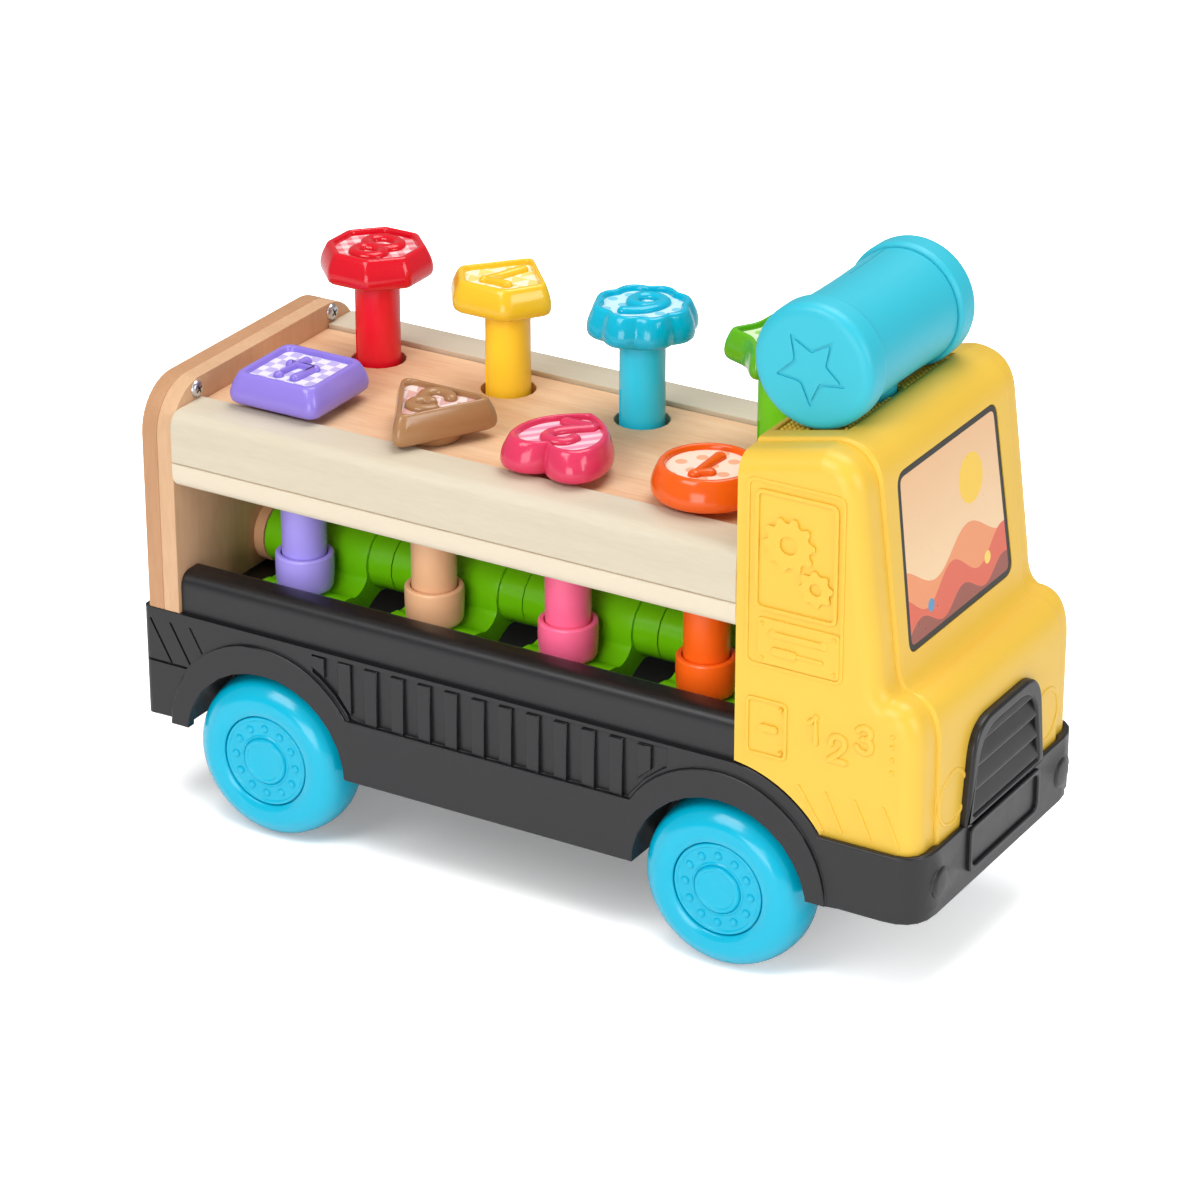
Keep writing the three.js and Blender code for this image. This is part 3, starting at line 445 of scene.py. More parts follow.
def noise(tree, vector, scale, detail=2.0, rough=0.5):
    node = tree.nodes.new("ShaderNodeTexNoise")
    feedAll(tree, node.inputs, {"Vector": vector, "Scale": scale, "Detail": detail, "Roughness": rough})
    return node.outputs["Fac"]


def buildMouldedSkin():
    group, source, sink = newGroup("mouldedSkin", Vector="Vector", Colour="Color", Gloss="Float",
                                   Uneven="Float")
    broad = noise(group, source["Vector"], 22)
    fine = noise(group, source["Vector"], 1500)
    scuff = noise(group, source["Vector"], 160, 5, 0.7)
    shade = mathNode(group, "MULTIPLY", broad, source["Uneven"])
    spread = mathNode(group, "MULTIPLY", mathNode(group, "SUBTRACT", scuff, 0.5), 0.16)
    feedAll(group, sink, {
        "Colour": mixColour(group, shade, source["Colour"], (0, 0, 0, 1)),
        "Roughness": mathNode(group, "ADD", source["Gloss"], spread), "Height": fine})
    return group


def buildWoodGrain():
    group, source, sink = newGroup("woodGrain", Vector="Vector", Pale="Color", Dark="Color", Strength="Float")
    bands = noise(group, source["Vector"], 1.0, 4, 0.6)
    fibres = noise(group, source["Vector"], 9.0, 3, 0.65)
    mixed = scaled(group, bands, 0.6, mathNode(group, "MULTIPLY", fibres, 0.4))
    ramp = mapRange(group, mixed, {"From Min": 0.36, "From Max": 0.66})
    share = mathNode(group, "MULTIPLY", ramp, source["Strength"])
    feedAll(group, sink, {
        "Colour": mixColour(group, share, source["Pale"], source["Dark"]),
        "Roughness": scaled(group, fibres, 0.2, 0.42), "Height": mixed})
    return group


mouldedSkin = buildMouldedSkin()
woodGrain = buildWoodGrain()


def newLook(name):
    look = bpy.data.materials.new(name)
    look.use_nodes = True
    tree = look.node_tree
    shader = tree.nodes["Principled BSDF"]
    coordinates = tree.nodes.new("ShaderNodeTexCoord").outputs["Object"]
    return look, tree, shader, coordinates


def mapped(tree, vector, scale=(1, 1, 1), turn=(0, 0, 0), shift=(0, 0, 0)):
    node = tree.nodes.new("ShaderNodeMapping")
    feedAll(tree, node.inputs, {"Vector": vector, "Scale": scale, "Rotation": turn, "Location": shift})
    return node.outputs[0]


def cover(tree, shader, group, values, grain, depth):
    node = tree.nodes.new("ShaderNodeGroup")
    node.node_tree = group
    feedAll(tree, node.inputs, values)
    tree.links.new(node.outputs["Roughness"], shader.inputs["Roughness"])
    relief = tree.nodes.new("ShaderNodeBump")
    feedAll(tree, relief.inputs, {"Strength": grain, "Distance": depth, "Height": node.outputs["Height"]})
    tree.links.new(relief.outputs[0], shader.inputs["Normal"])
    return node.outputs["Colour"]


def skin(tree, shader, coordinates, colour, gloss, uneven, grain):
    values = {"Vector": coordinates, "Colour": colour, "Gloss": gloss, "Uneven": uneven}
    tree.links.new(cover(tree, shader, mouldedSkin, values, grain, 0.0001), shader.inputs["Base Color"])


def plasticLook(name, colour, gloss, grain, coat=0.0, shine=0.5):
    look, tree, shader, coordinates = newLook(name)
    skin(tree, shader, coordinates, paint(colour), gloss, 0.08, grain)
    feedAll(tree, shader.inputs, {"Specular IOR Level": shine, "Coat Weight": coat, "Coat Roughness": 0.12})
    return look


def woodLook(name, pale, dark, strength, stretch, paintedLightBand=None):
    look, tree, shader, coordinates = newLook(name)
    values = {"Vector": mapped(tree, coordinates, stretch), "Pale": paint(pale), "Dark": paint(dark),
              "Strength": strength}
    colour = cover(tree, shader, woodGrain, values, 0.12, 0.0003)
    # painted light: below the given height the wood is mixed towards a paler tint
    if paintedLightBand:
        height, paintedLightTint = paintedLightBand
        lower = mathNode(tree, "LESS_THAN", splitAxes(tree, coordinates)[2], height)
        colour = mixColour(tree, lower, colour, mixColour(tree, 0.75, colour, paint(paintedLightTint)))
    tree.links.new(colour, shader.inputs["Base Color"])
    return look


def steelLook(name):
    look, tree, shader, coordinates = newLook(name)
    brush = noise(tree, mapped(tree, coordinates, (900, 60, 900)), 1.0, 3)
    feedAll(tree, shader.inputs, {
        "Metallic": 1.0, "Base Color": mixColour(tree, brush, (0.5, 0.5, 0.52, 1), (0.72, 0.72, 0.74, 1)),
        "Roughness": scaled(tree, brush, 0.2, 0.22)})
    return look


# finishes
blackLook = plasticLook("blackPlastic", (28, 27, 30), gloss=0.36, grain=0.08)
yellowLook = plasticLook("yellowPlastic", (242, 197, 68), gloss=0.38, grain=0.06)
wheelLook = plasticLook("bluePlastic", (0, 188, 222), gloss=0.2, grain=0.02, coat=0.25, shine=0.35)
malletLook = plasticLook("malletPlastic", (48, 192, 214), gloss=0.42, grain=0.1)
greenLook = plasticLook("greenPlastic", (112, 196, 8), gloss=0.24, grain=0.03, coat=0.2)
frameLook = plasticLook("screenEdge", (44, 43, 42), gloss=0.4, grain=0.03, shine=0.3)
steel = steelLook("steel")
# the rails are paler below the seam: painted light from the white floor below
seamLine = dict(z=137.1, low=(-150, 57.7, 136.85), high=(90, 59.5, 137.35), paintedFloorLight=(230, 216, 192))
railLook = woodLook("paleWood", (214, 203, 181), (198, 183, 156), 0.45, (14, 120, 120),
                    paintedLightBand=(seamLine["z"] * mm, seamLine["paintedFloorLight"]))
boardLook = woodLook("bedWood", (238, 200, 160), (214, 158, 112), 0.75, (9, 90, 90))
tailLook = woodLook("tanWood", (200, 151, 110), (176, 126, 86), 0.5, (60, 60, 9))
innerLook = woodLook("tailboardFront", (222, 180, 140), (196, 150, 108), 0.55, (60, 60, 9))
print("finishes ready")

# wheels: one turned tyre and one hub disc, copied to the four corners
wheel = dict(face=59.4, studs=12, studCircle=12.5, rearX=-104.3, frontX=78.4, axleZ=30.735)
tyreProfile = softCorners([
    (2.8, -2.3, 0), (17.1, -2.3, 0.2), (17.1, -0.2, 0.6), (19.4, 0.9, 1.6), (23.6, 1.1, 3.4),
    (28.6, -2.2, 4.2), (30.73, -8.4, 4.6), (30.73, -14.6, 3.0), (29.2, -18.5, 1.8), (25.4, -18.5, 0.5),
    (25.0, -6.1, 0.5), (7.5, -6.1, 0.5), (7.5, -18.5, 0.5), (2.8, -18.5, 0)], steps=6)
hubProfile = softCorners([
    (0, -2.3, 0), (16.7, -2.3, 0), (16.7, -0.4, 0.5), (15.6, -0.4, 0.3), (15.2, -0.8, 0.3), (9.9, -0.8, 0.3),
    (9.5, -0.3, 0.3), (9.1, -0.3, 0.2), (8.8, -0.9, 0.25), (8.3, 0.45, 0.6), (7.1, 0.5, 0.3), (6.8, 0.2, 0.2),
    (0, 0.25, 0)], steps=3)
studProfile = softCorners([(0, -1.4, 0), (1.6, -1.4, 0), (1.5, -0.6, 0.3), (1.0, 0.1, 0.6), (0, 0.25, 0)],
                          steps=3)
tyre = spinProfile("tyreForm", tyreProfile, "Y", (0, 0, 0), 96)
smooth(tyre, 40, False)
hubParts = [spinProfile("hubForm", hubProfile, "Y", (0, 0, 0), 72)]
for i, (x, z) in enumerate(polar(wheel["studs"], lambda i, a: wheel["studCircle"])):
    hubParts.append(spinProfile(f"stud{i}", studProfile, "Y", (x, 0, z), 16))
hub = joinAll("hubForm", hubParts)
smooth(hub, 40, False)
for end in ("rear", "front"):
    for side, sign in sides.items():
        place = shifted(wheel[end + "X"], sign * wheel["face"], wheel["axleZ"]) @ facing(sign)
        for form, name, node in ((tyre, "tyre", "wheel"), (hub, "hubdisc", "hub")):
            settle(copyPiece(form, f"{name}_{end}_{side}", place), f"wheelset_{end}", "blue_plastic",
                   wheelLook, f"{node}_{end}_{side}")
for form in (tyre, hub):
    bpy.data.objects.remove(form)
for node in ("axle_rear", "axle_front", "rocker_rod"):
    frame["nodes"][node].data.materials.clear()
    frame["nodes"][node].data.materials.append(steel)
print("wheels done")

# chassis and base plate with softened mould edges
rearCorner = dict(x=-155.5, half=58.0, round=2.6, past=2.0, low=30.0, high=90.0)
tubSkin = dict(y=57.9, level=0.05, shortest=1.0, panelFront=-110.0, panelFoot=57.0, round=0.4)
tub = cadCopy("chassis_tub", "tub", 0)
for side in sides:
    combine(tub, cadCopy(f"side_skirt_{side}", "skirt", 0), "UNION")
tidyMesh(tub)
editAll(tub)
bpy.ops.mesh.dissolve_limited(angle_limit=flatAngle)
leaveEdit()
for sign in sides.values():
    size, past, x, y = rearCorner["round"], rearCorner["past"], rearCorner["x"], rearCorner["half"]
    corner = sideBlock("corner", sign, (x - past, y - size, rearCorner["low"]),
                       (x + size, y + past, rearCorner["high"]))
    cutAway(corner, rod("cornerRod", size, "Z", (x + size, sign * (y - size), 60), 70, 48))
    cutAway(tub, corner)


def onTubSkin(a, b):
    level = min(abs(a.y), abs(b.y)) > tubSkin["y"] * mm and abs(a.y - b.y) < tubSkin["level"] * mm
    inPanel = min(a.x, b.x) < tubSkin["panelFront"] * mm and max(a.z, b.z) > tubSkin["panelFoot"] * mm
    return level and not inPanel and (a - b).length > tubSkin["shortest"] * mm


roundEdges(tub, onTubSkin, tubSkin["round"], 2)
smooth(tub, 32)
settle(tub, "truck", "black_plastic", blackLook, "chassis_tub", "side_skirt_right", "side_skirt_left")
settle(cadCopy("base_plate", "underplate", 0.5), "truck", "black_plastic", blackLook, "base_plate")

# bumper with lamp domes, and a fill where it meets the front wheel arch
rims = dict(top=61.4, foot=36.5, round=0.7, plateFace=155.3, plateHalf=30.0, plateRound=0.5)
dome = dict(x=154.2, y=45.3, z=48.3, cutLow=(154.2, 38, 41), cutHigh=(158, 53, 57))
domeProfile = softCorners([(0, -1.0, 0), (5.7, -1.0, 0), (5.6, 0.1, 0.2), (4.4, 0.8, 1.2), (0, 1.25, 0)],
                          steps=5)
archFill = dict(x=78.4, y=54, z=33.0, inner=43.8, outer=47.6, sweep=range(6, 41, 2), depth=3.2)
bumper = cadCopy("front_bumper", "bumper", 0)
roundEdges(bumper, lambda a, b: min(a.z, b.z) > rims["top"] * mm or max(a.z, b.z) < rims["foot"] * mm,
           rims["round"], 3)
roundEdges(bumper, lambda a, b: (min(a.x, b.x) > rims["plateFace"] * mm
                                 and max(abs(a.y), abs(b.y)) < rims["plateHalf"] * mm), rims["plateRound"], 3)
smooth(bumper, 32)
arcs = [(archFill["inner"], math.radians(a)) for a in archFill["sweep"]]
arcs += [(archFill["outer"], math.radians(a)) for a in reversed(archFill["sweep"])]
archOutline = [(archFill["x"] + r * math.cos(a), archFill["z"] + r * math.sin(a)) for r, a in arcs]
bumperParts = [bumper]
for sign in sides.values():
    cutAway(bumper, sideBlock("lampCut", sign, dome["cutLow"], dome["cutHigh"]))
    place = (dome["x"], sign * dome["y"], dome["z"])
    bumperParts.append(spinProfile("lampDome", domeProfile, "X", place, 40))
    smooth(bumperParts[-1], 40, False)
    bumperParts.append(pushOut("archFill", archOutline, "Y", sign * archFill["y"], sign * archFill["depth"]))
settle(joinAll("bumper", bumperParts), "truck", "black_plastic", blackLook, "front_bumper")

# grille: a frame around four leaning slats
grill = dict(
    back=152.0, face=155.3, foot=60.2, top=96.5, footHalf=29.0, topHalf=24.0, round=12.0, footRound=1.5,
    bar=4.4, barRound=1.35, sill=3.0, floor=0.6, slats=4, pitch=8.35, gap=1.4, start=0.1, tuck=0.3,
    slatRound=0.3)


def grillOutline(inset, foot):
    top, half, footHalf = grill["top"] - inset, grill["topHalf"] - inset, grill["footHalf"] - inset
    return softCorners([(-footHalf, foot, grill["footRound"]), (footHalf, foot, grill["footRound"]),
                        (half, top, grill["round"]), (-half, top, grill["round"])], steps=10)


windowFoot = grill["foot"] + grill["sill"]
grille = pushOut("grill", grillOutline(0, grill["foot"]), "X", grill["back"], grill["face"] - grill["back"])
window = grillOutline(grill["bar"], windowFoot)
cutAway(grille, pushOut("window", window, "X", grill["back"] + grill["floor"], 6))
tidyMesh(grille)
roundEdges(grille, lambda a, b: min(a.x, b.x) > (grill["face"] - 0.01) * mm, grill["barRound"], 5)
grilleParts = [grille]
for k in range(grill["slats"]):
    low = windowFoot + grill["pitch"] * k + grill["start"]
    high = low + grill["pitch"] - grill["gap"]
    slatSide = [(152.4, low), (154.5, low), (154.9, low + 0.9), (154.6, low + 2.2), (153.0, high),
                (152.4, high)]
    slat = pushOut("slat", slatSide, "Y", -30, 60)
    opening = grillOutline(grill["bar"] - grill["tuck"], windowFoot - grill["tuck"])
    combine(slat, pushOut("slatShape", opening, "X", 150, 8), "INTERSECT")
    softEdges(slat, grill["slatRound"], 25)
    grilleParts.append(slat)
grille = joinAll("grill", grilleParts)
smooth(grille, 32)
settle(grille, "truck", "black_plastic", blackLook, "grille")
print("chassis done")

# wooden bed, with a seam along each rail
for side, sign in sides.items():
    rail = cadCopy(f"rail_{side}", f"siderail_{side}", 0.6, 50)
    cutAway(rail, sideBlock("seamCut", sign, seamLine["low"], seamLine["high"]))
    smooth(rail, 50)
    settle(rail, "truck", "pale_wood", railLook, f"rail_{side}")
for node, name, width, slotName, look in (
        ("peg_board", "bed", 0.5, "bed_wood", boardLook),
        ("tailboard_inner", "tail_front", 0.5, "tan_wood", innerLook),
        ("tailboard_outer", "tail_back", 0.7, "tan_wood", tailLook),
        ("spacer_rear", "ring_rear", 0.4, "tan_wood", tailLook),
        ("spacer_front", "ring_front", 0.4, "tan_wood", tailLook)):
    settle(cadCopy(node, name, width, 50), "truck", slotName, look, node)

screw = dict(
    x=-140.0, y=42.0, z=159.0, head=3.2, rise=1.5, slotLow=(-0.5, -1.7, -0.35), slotHigh=(2.5, 1.7, 0.35),
    slotTurn=0.5)
screwProfile = softCorners([(0, -9, 0), (2.0, -7, 0.3), (2.0, 0, 0), (screw["head"], 0, 0.2),
                            (screw["head"] * 0.8, screw["rise"] * 0.75, 0.7), (0, screw["rise"], 0)], steps=3)
for side, sign in sides.items():
    place = (screw["x"], sign * screw["y"], screw["z"])
    head = spinProfile(f"screw_{side}", screwProfile, "X", place, 32)
    for turn in (screw["slotTurn"], screw["slotTurn"] + math.pi / 2):
        slotCut = block("slotCut", screw["slotLow"], screw["slotHigh"])
        slotCut.data.transform(shifted(*place) @ Matrix.Rotation(turn, 4, "X"))
        cutAway(head, slotCut)
    smooth(head, 35, False)
    settle(head, "truck", "steel", steel, f"tailboard_screw_{side}")
print("bed done")

# rockers on the rod
for i, letter in enumerate("abcd", 1):
    settle(cadCopy(f"rocker_{i}", f"seesaw_{i}", 1.2, 30, 4), f"rocker_{letter}", "green_plastic", greenLook,
           f"rocker_{i}")
print("rockers done")

# pegs: stem and foot are modelled once, heads one by one
pegs = dict(
    xs=[-108.5, -54.3, -0.1, 54.1], y=24.8, travel=29.0, stem=8.0, stemLow=88.0, stemTop=154.1, foot=10.5,
    footLow=83.6, footHigh=98.0, boss=10.6, bossHigh=3.0, headLow=156.9, inlay=9.25, inlayShare=0.742,
    figure=9.4, figureRise=1.9, grooveLow=(-12, -1.5, 118.6), grooveHigh=(-7.1, 1.5, 136.6), grooveTurn=45)
stemProfile = softCorners([
    (0, pegs["stemLow"], 0), (pegs["stem"], pegs["stemLow"], 0.4), (pegs["stem"], pegs["stemTop"], 0),
    (0, pegs["stemTop"], 0)], steps=2)
footProfile = softCorners([
    (0, pegs["footLow"], 0), (9.9, pegs["footLow"], 2.6), (pegs["foot"], 91.0, 3.0),
    (10.4, pegs["footHigh"], 2.2), (8.35, pegs["footHigh"], 0.7), (8.3, pegs["stemLow"], 0),
    (0, pegs["stemLow"], 0)], steps=6)
bossProfile = softCorners([
    (0, 0, 0), (pegs["boss"], 0, 0.5), (pegs["boss"], pegs["bossHigh"], 0), (0, pegs["bossHigh"], 0)],
    steps=3)
stemForm = spinProfile("stemForm", stemProfile, "Z", (0, 0, 0), 56)
groove = block("groove", pegs["grooveLow"], pegs["grooveHigh"])
groove.data.transform(Matrix.Rotation(math.radians(pegs["grooveTurn"]), 4, "Z"))
cutAway(stemForm, groove)
smooth(stemForm, 35, False)
footForm = spinProfile("footForm", footProfile, "Z", (0, 0, 0), 56)
smooth(footForm, 40, False)

# the rings of a head: share of its outline, and height
headRings = [
    (0.5, 0), (0.87, 0), (0.935, 0.25), (0.975, 0.95), (0.996, 2.1), (1.0, 3.3), (0.992, 4.7), (0.968, 6.5),
    (0.935, 8.1), (0.898, 9.6), (0.874, 10.5), (0.85, 11.0), (0.82, 11.2), (0.785, 11.2), (0.762, 11.0),
    (0.75, 10.5), (0.74, 9.2)]
heart = dict(half=18.8, tip=18.5, lobe=19.5, notch=15.5)


def heartOutline():
    half, tip, notch = heart["half"], heart["tip"], heart["notch"]
    cheek, lobe = -heart["lobe"] * 0.4, -heart["lobe"] * 1.15
    left = bezierPoints([(0, tip), (-half * 0.5, tip * 0.75), (-half, tip * 0.3), (-half, cheek)], 14)
    left += bezierPoints([(-half, cheek), (-half, lobe), (-half * 0.3, lobe), (0, -notch)], 16)
    return left + [(0, -notch)] + [(-x, y) for x, y in reversed(left[1:])]


headOutlines = {
    1: polar(72, lambda i, a: 19.2),
    2: heartOutline(),
    3: softCorners(polar(3, lambda i, a: 25.5, -math.pi / 2), 7, 12),
    4: softCorners([(-18.4, -18.4), (18.4, -18.4), (18.4, 18.4), (-18.4, 18.4)], 4.5, 10),
    5: softCorners(polar(10, lambda i, a: 14 if i % 2 else 21.5, -math.pi / 2), 4, 8),
    6: polar(160, lambda i, a: 19.6 * (1 - 0.11 * (1 - math.sqrt(math.cos(4 * a) ** 2 + 0.02)))),
    7: softCorners([(21, -4), (0, 19.5), (-21, -4), (-10.5, -19), (10.5, -19)], 3.5, 10),
    8: softCorners(polar(8, lambda i, a: 20.6, math.pi / 8), 1.8, 6),
}
# colour word, colours of head and stem, height and stroke of the figure; the stems of pegs 2, 4 and 6 are
# painted lighter than their heads' plastic, painted light against the shade under the bed, while the tan stem
# of peg 3 is its own colour
pegLooks = {
    1: ("orange", (246, 98, 18), (246, 98, 18), 21.5, 2.4),
    2: ("pink", (226, 58, 98), (250, 104, 146), 20.0, 2.4),
    3: ("brown", (172, 126, 84), (226, 174, 132), 19.5, 2.4),
    4: ("purple", (148, 128, 224), (164, 150, 236), 19.5, 1.95),
    5: ("leaf", (98, 186, 20), (98, 186, 20), 18.0, 2.1),
    6: ("cyan", (0, 186, 218), (34, 190, 220), 20.5, 2.4),
    7: ("sun", (250, 200, 44), (250, 200, 44), 19.5, 1.95),
    8: ("red", (222, 14, 36), (222, 14, 36), 21.0, 2.4),
}
# pattern, ground, ink, repeats per metre and turn of the print let into each head
prints = {
    1: ("dots", (252, 226, 206), (246, 178, 140), 128, 0.6),
    2: ("stripes", (250, 208, 220), (240, 150, 180), 210, 0.7),
    3: ("triangles", (246, 226, 220), (226, 176, 168), 150, 0.0),
    4: ("checks", (240, 236, 250), (196, 184, 236), 130, 0.0),
    5: ("dots", (226, 246, 200), (160, 216, 110), 150, 0.3),
    6: ("dots", (206, 240, 248), (130, 210, 232), 150, 0.5),
    7: ("triangles", (255, 248, 214), (240, 222, 130), 150, 0.0),
    8: ("gingham", (252, 226, 226), (236, 120, 130), 200, 0.78),
}


def printLook(name, pattern, ground, ink, scale, turn):
    look, tree, shader, coordinates = newLook(name)
    x, y, _ = splitAxes(tree, mapped(tree, coordinates, (scale, scale, scale), (0, 0, turn)))
    across, along = mathNode(tree, "FRACT", x), mathNode(tree, "FRACT", y)
    if pattern == "stripes":
        mask = mathNode(tree, "GREATER_THAN", across, 0.5)
    if pattern == "checks":
        flat = tree.nodes.new("ShaderNodeCombineXYZ")
        feedAll(tree, flat.inputs, {"X": x, "Y": y, "Z": 0.25})
        checker = tree.nodes.new("ShaderNodeTexChecker")
        feedAll(tree, checker.inputs, {"Vector": flat.outputs[0], "Scale": 2.0})
        mask = checker.outputs["Fac"]
    if pattern == "gingham":
        bars = mathNode(tree, "GREATER_THAN", across, 0.5)
        rows = mathNode(tree, "GREATER_THAN", along, 0.5)
        mask = mathNode(tree, "MULTIPLY", mathNode(tree, "ADD", bars, rows), 0.5)
    if pattern == "triangles":
        slope = mathNode(tree, "ABSOLUTE", mathNode(tree, "SUBTRACT", across, 0.5))
        mask = mathNode(tree, "GREATER_THAN", along, mathNode(tree, "MULTIPLY", slope, 2.0))
    if pattern == "dots":
        mask = mathNode(tree, "LESS_THAN", farSquared(tree, (across, along), (0.5, 0.5)), 0.07)
    skin(tree, shader, coordinates, mixColour(tree, mask, paint(ground), paint(ink)), 0.38, 0.04, 0.03)
    return look


def pegPlace(number):
    column = (4 - number) if number < 5 else (8 - number)
    return pegs["xs"][column], pegs["y"] * (-1 if number < 5 else 1), pegs["travel"] if number > 4 else 0.0


for number, (word, headColour, stemColourWithPaintedLight, figureHeight, figureStroke) in pegLooks.items():
    headLook = plasticLook(word + "Head", headColour, gloss=0.16, grain=0.02, coat=0.25, shine=0.35)
    # stems of pegs 2, 4 and 6 are painted lighter than their heads: painted light against the shade under the
    # bed
    stemLook = plasticLook(word + "Stem", stemColourWithPaintedLight, gloss=0.34, grain=0.05)
    body, slotName = f"peg_{number}", f"{word}_plastic"
    stemSlot = "tan_plastic" if number == 3 else slotName
    x, y, lift = pegPlace(number)
    low, outline = pegs["headLow"] + lift, headOutlines[number]
    head = ringStack(f"top_{number}", outline, [(k, low + z) for k, z in headRings], (x, y))
    boss = spinProfile("boss", bossProfile, "Z", (x, y, pegs["stemTop"] + lift), 56)
    head = joinAll(f"top_{number}", [head, boss])
    smooth(head, 50, False)
    settle(head, body, slotName, headLook, f"peg_{number}_head")
    share, sunk = pegs["inlayShare"], low + pegs["inlay"]
    inlay = flatOutline(f"print_{number}", outline, lambda a, b: (x + a * share, y + b * share, sunk))
    settle(inlay, body, slotName, printLook(f"print{number}", *prints[number]))
    figure = digit(f"figure_{number}", str(number), figureHeight, figureStroke, pegs["figureRise"])
    figure.data.transform(shifted(x, y, low + pegs["figure"]) @ Matrix.Rotation(math.pi, 4, "Z"))
    settle(figure, body, slotName, headLook)
    for form, name, node in ((stemForm, "shaft", "stem"), (footForm, "cap", "foot")):
        settle(copyPiece(form, f"{name}_{number}", shifted(x, y, lift)), body, stemSlot, stemLook,
               f"peg_{number}_{node}")
for form in (stemForm, footForm):
    bpy.data.objects.remove(form)
print("pegs done")

# cab: a round-edged body with a front panel that stands proud
cab = dict(
    back=83.4, half=57.7, round=7.0, foot=60.0, frontHalf=45.0, step=1.4, roof=190.5, rise=6.5,
    roofDepth=43.74, roofRound=14.0, lean=0.1266, scuttle=121.5, scuttleRound=6.0, bonnet=113.6,
    bonnetRound=12.0, nose=152.2, noseTop=96.0, archX=78.4, archZ=34.435, archRadius=45.8, hole=11.1,
    holeX=98.4, holeZ=150.0, holeDepth=123.0, bed=(85.4, 111.4), bedHalf=38.0, bedDepth=1.2, cradle=22.8,
    spare=12.0)
beyond = dict(rear=40, front=200, half=80, bed=210, top=240)
screen = dict(
    z=153.4, half=30.64, footHalf=37.4, topHalf=35.3, round=5.0, back=-1.5, thick=1.3, edge=2.0, play=0.3,
    pocketRound=5.2, pocketBack=-1.9)
mallet = dict(
    x=98.4, z=214.78, half=26.0, capLength=12.0, cap=21.7, waist=19.7, end=20.2, rim=20.1, lip=19.4,
    bore=16.7, neck=10.8, seamTurn=-0.35, seamLow=(-0.18, 0, 19.0),
    seamHigh=(0.18, 27, 21.0))


def screenX(z):
    return cab["back"] + cab["roofDepth"] + (cab["roof"] + cab["rise"] - z) * cab["lean"]


def roofZ(x):
    return cab["roof"] + cab["rise"] * (x - cab["back"]) / (cab["roofDepth"] - cab["roofRound"])


def cabOutline(step, back, foot):
    shift = step - cab["step"]
    nose, top = cab["nose"] + shift, cab["roof"] + cab["rise"] + shift
    brow, lip = top - cab["roofRound"], cab["scuttle"] + cab["scuttleRound"] / 2
    bonnetEnd = (nose - cab["bonnetRound"], cab["bonnet"])
    points = [(back, foot), (nose, foot)]
    points += quadPoints((nose, cab["noseTop"]), (nose, cab["bonnet"]), bonnetEnd, 14)
    bend = (screenX(cab["scuttle"]) + shift, cab["bonnet"] + cab["scuttleRound"] / 3)
    points += quadPoints(bonnetEnd, bend, (screenX(lip) + shift, lip), 14)[1:]
    points += quadPoints((screenX(brow) + shift, brow), (screenX(top) + shift, top),
                         (screenX(top) + shift - cab["roofRound"], top), 14)
    return points + [(back, roofZ(back) + shift)]


def cabSlab(name, step, half, roundness, segments):
    back, foot = cab["back"] - cab["spare"], cab["foot"] - cab["spare"]
    slab = pushOut(name, cabOutline(step, back, foot), "Y", -half, 2 * half)
    edge = (half - 0.01) * mm

    def onSide(a, b):
        middle = (a + b) / 2
        return (abs(a.y) > edge and abs(b.y) > edge and (a.y > 0) == (b.y > 0)
                and middle.x > (back + 0.1) * mm and middle.z > (foot + 0.1) * mm)

    roundEdges(slab, onSide, roundness, segments)
    return slab


def screenOutline(grow, roundness):
    half, footHalf, topHalf = screen["half"] + grow, screen["footHalf"] + grow, screen["topHalf"] + grow
    corners = [(-footHalf, -half), (footHalf, -half), (topHalf, half), (-topHalf, half)]
    return softCorners(corners, roundness, 8)


screenTilt = shifted(screenX(screen["z"]), 0, screen["z"]) @ Matrix.Rotation(-math.atan(cab["lean"]), 4, "Y")
cabBody = cabSlab("cab", 0, cab["half"], cab["round"], 10)
combine(cabBody, cabSlab("cabFront", cab["step"], cab["frontHalf"], cab["step"], 4), "UNION")
bedLow, bedHigh = cab["bed"]
bedSide = [(bedLow, roofZ(bedLow) - cab["bedDepth"]), (bedHigh, roofZ(bedHigh) - cab["bedDepth"]),
           (bedHigh, beyond["bed"]), (bedLow, beyond["bed"])]
pocket = pushOut("pocket", screenOutline(screen["play"], screen["pocketRound"]), "X", screen["pocketBack"], 8)
pocket.data.transform(screenTilt)
rear, wide = beyond["rear"], beyond["half"]
for cut in (
        block("behind", (rear, -wide, 0), (cab["back"], wide, beyond["top"])),
        block("below", (rear, -wide, 0), (beyond["front"], wide, cab["foot"])),
        rod("arch", cab["archRadius"], "Y", (cab["archX"], 0, cab["archZ"]), 200, 128),
        rod("socket", cab["hole"], "Z", (cab["holeX"], 0, cab["holeZ"]), cab["holeDepth"], 48),
        pushOut("bedCut", bedSide, "Y", -cab["bedHalf"], 2 * cab["bedHalf"]),
        rod("cradle", cab["cradle"], "Y", (mallet["x"], 0, mallet["z"]), 2 * cab["bedHalf"], 128), pocket):
    cutAway(cabBody, cut)
tidyMesh(cabBody)
smooth(cabBody, 30)

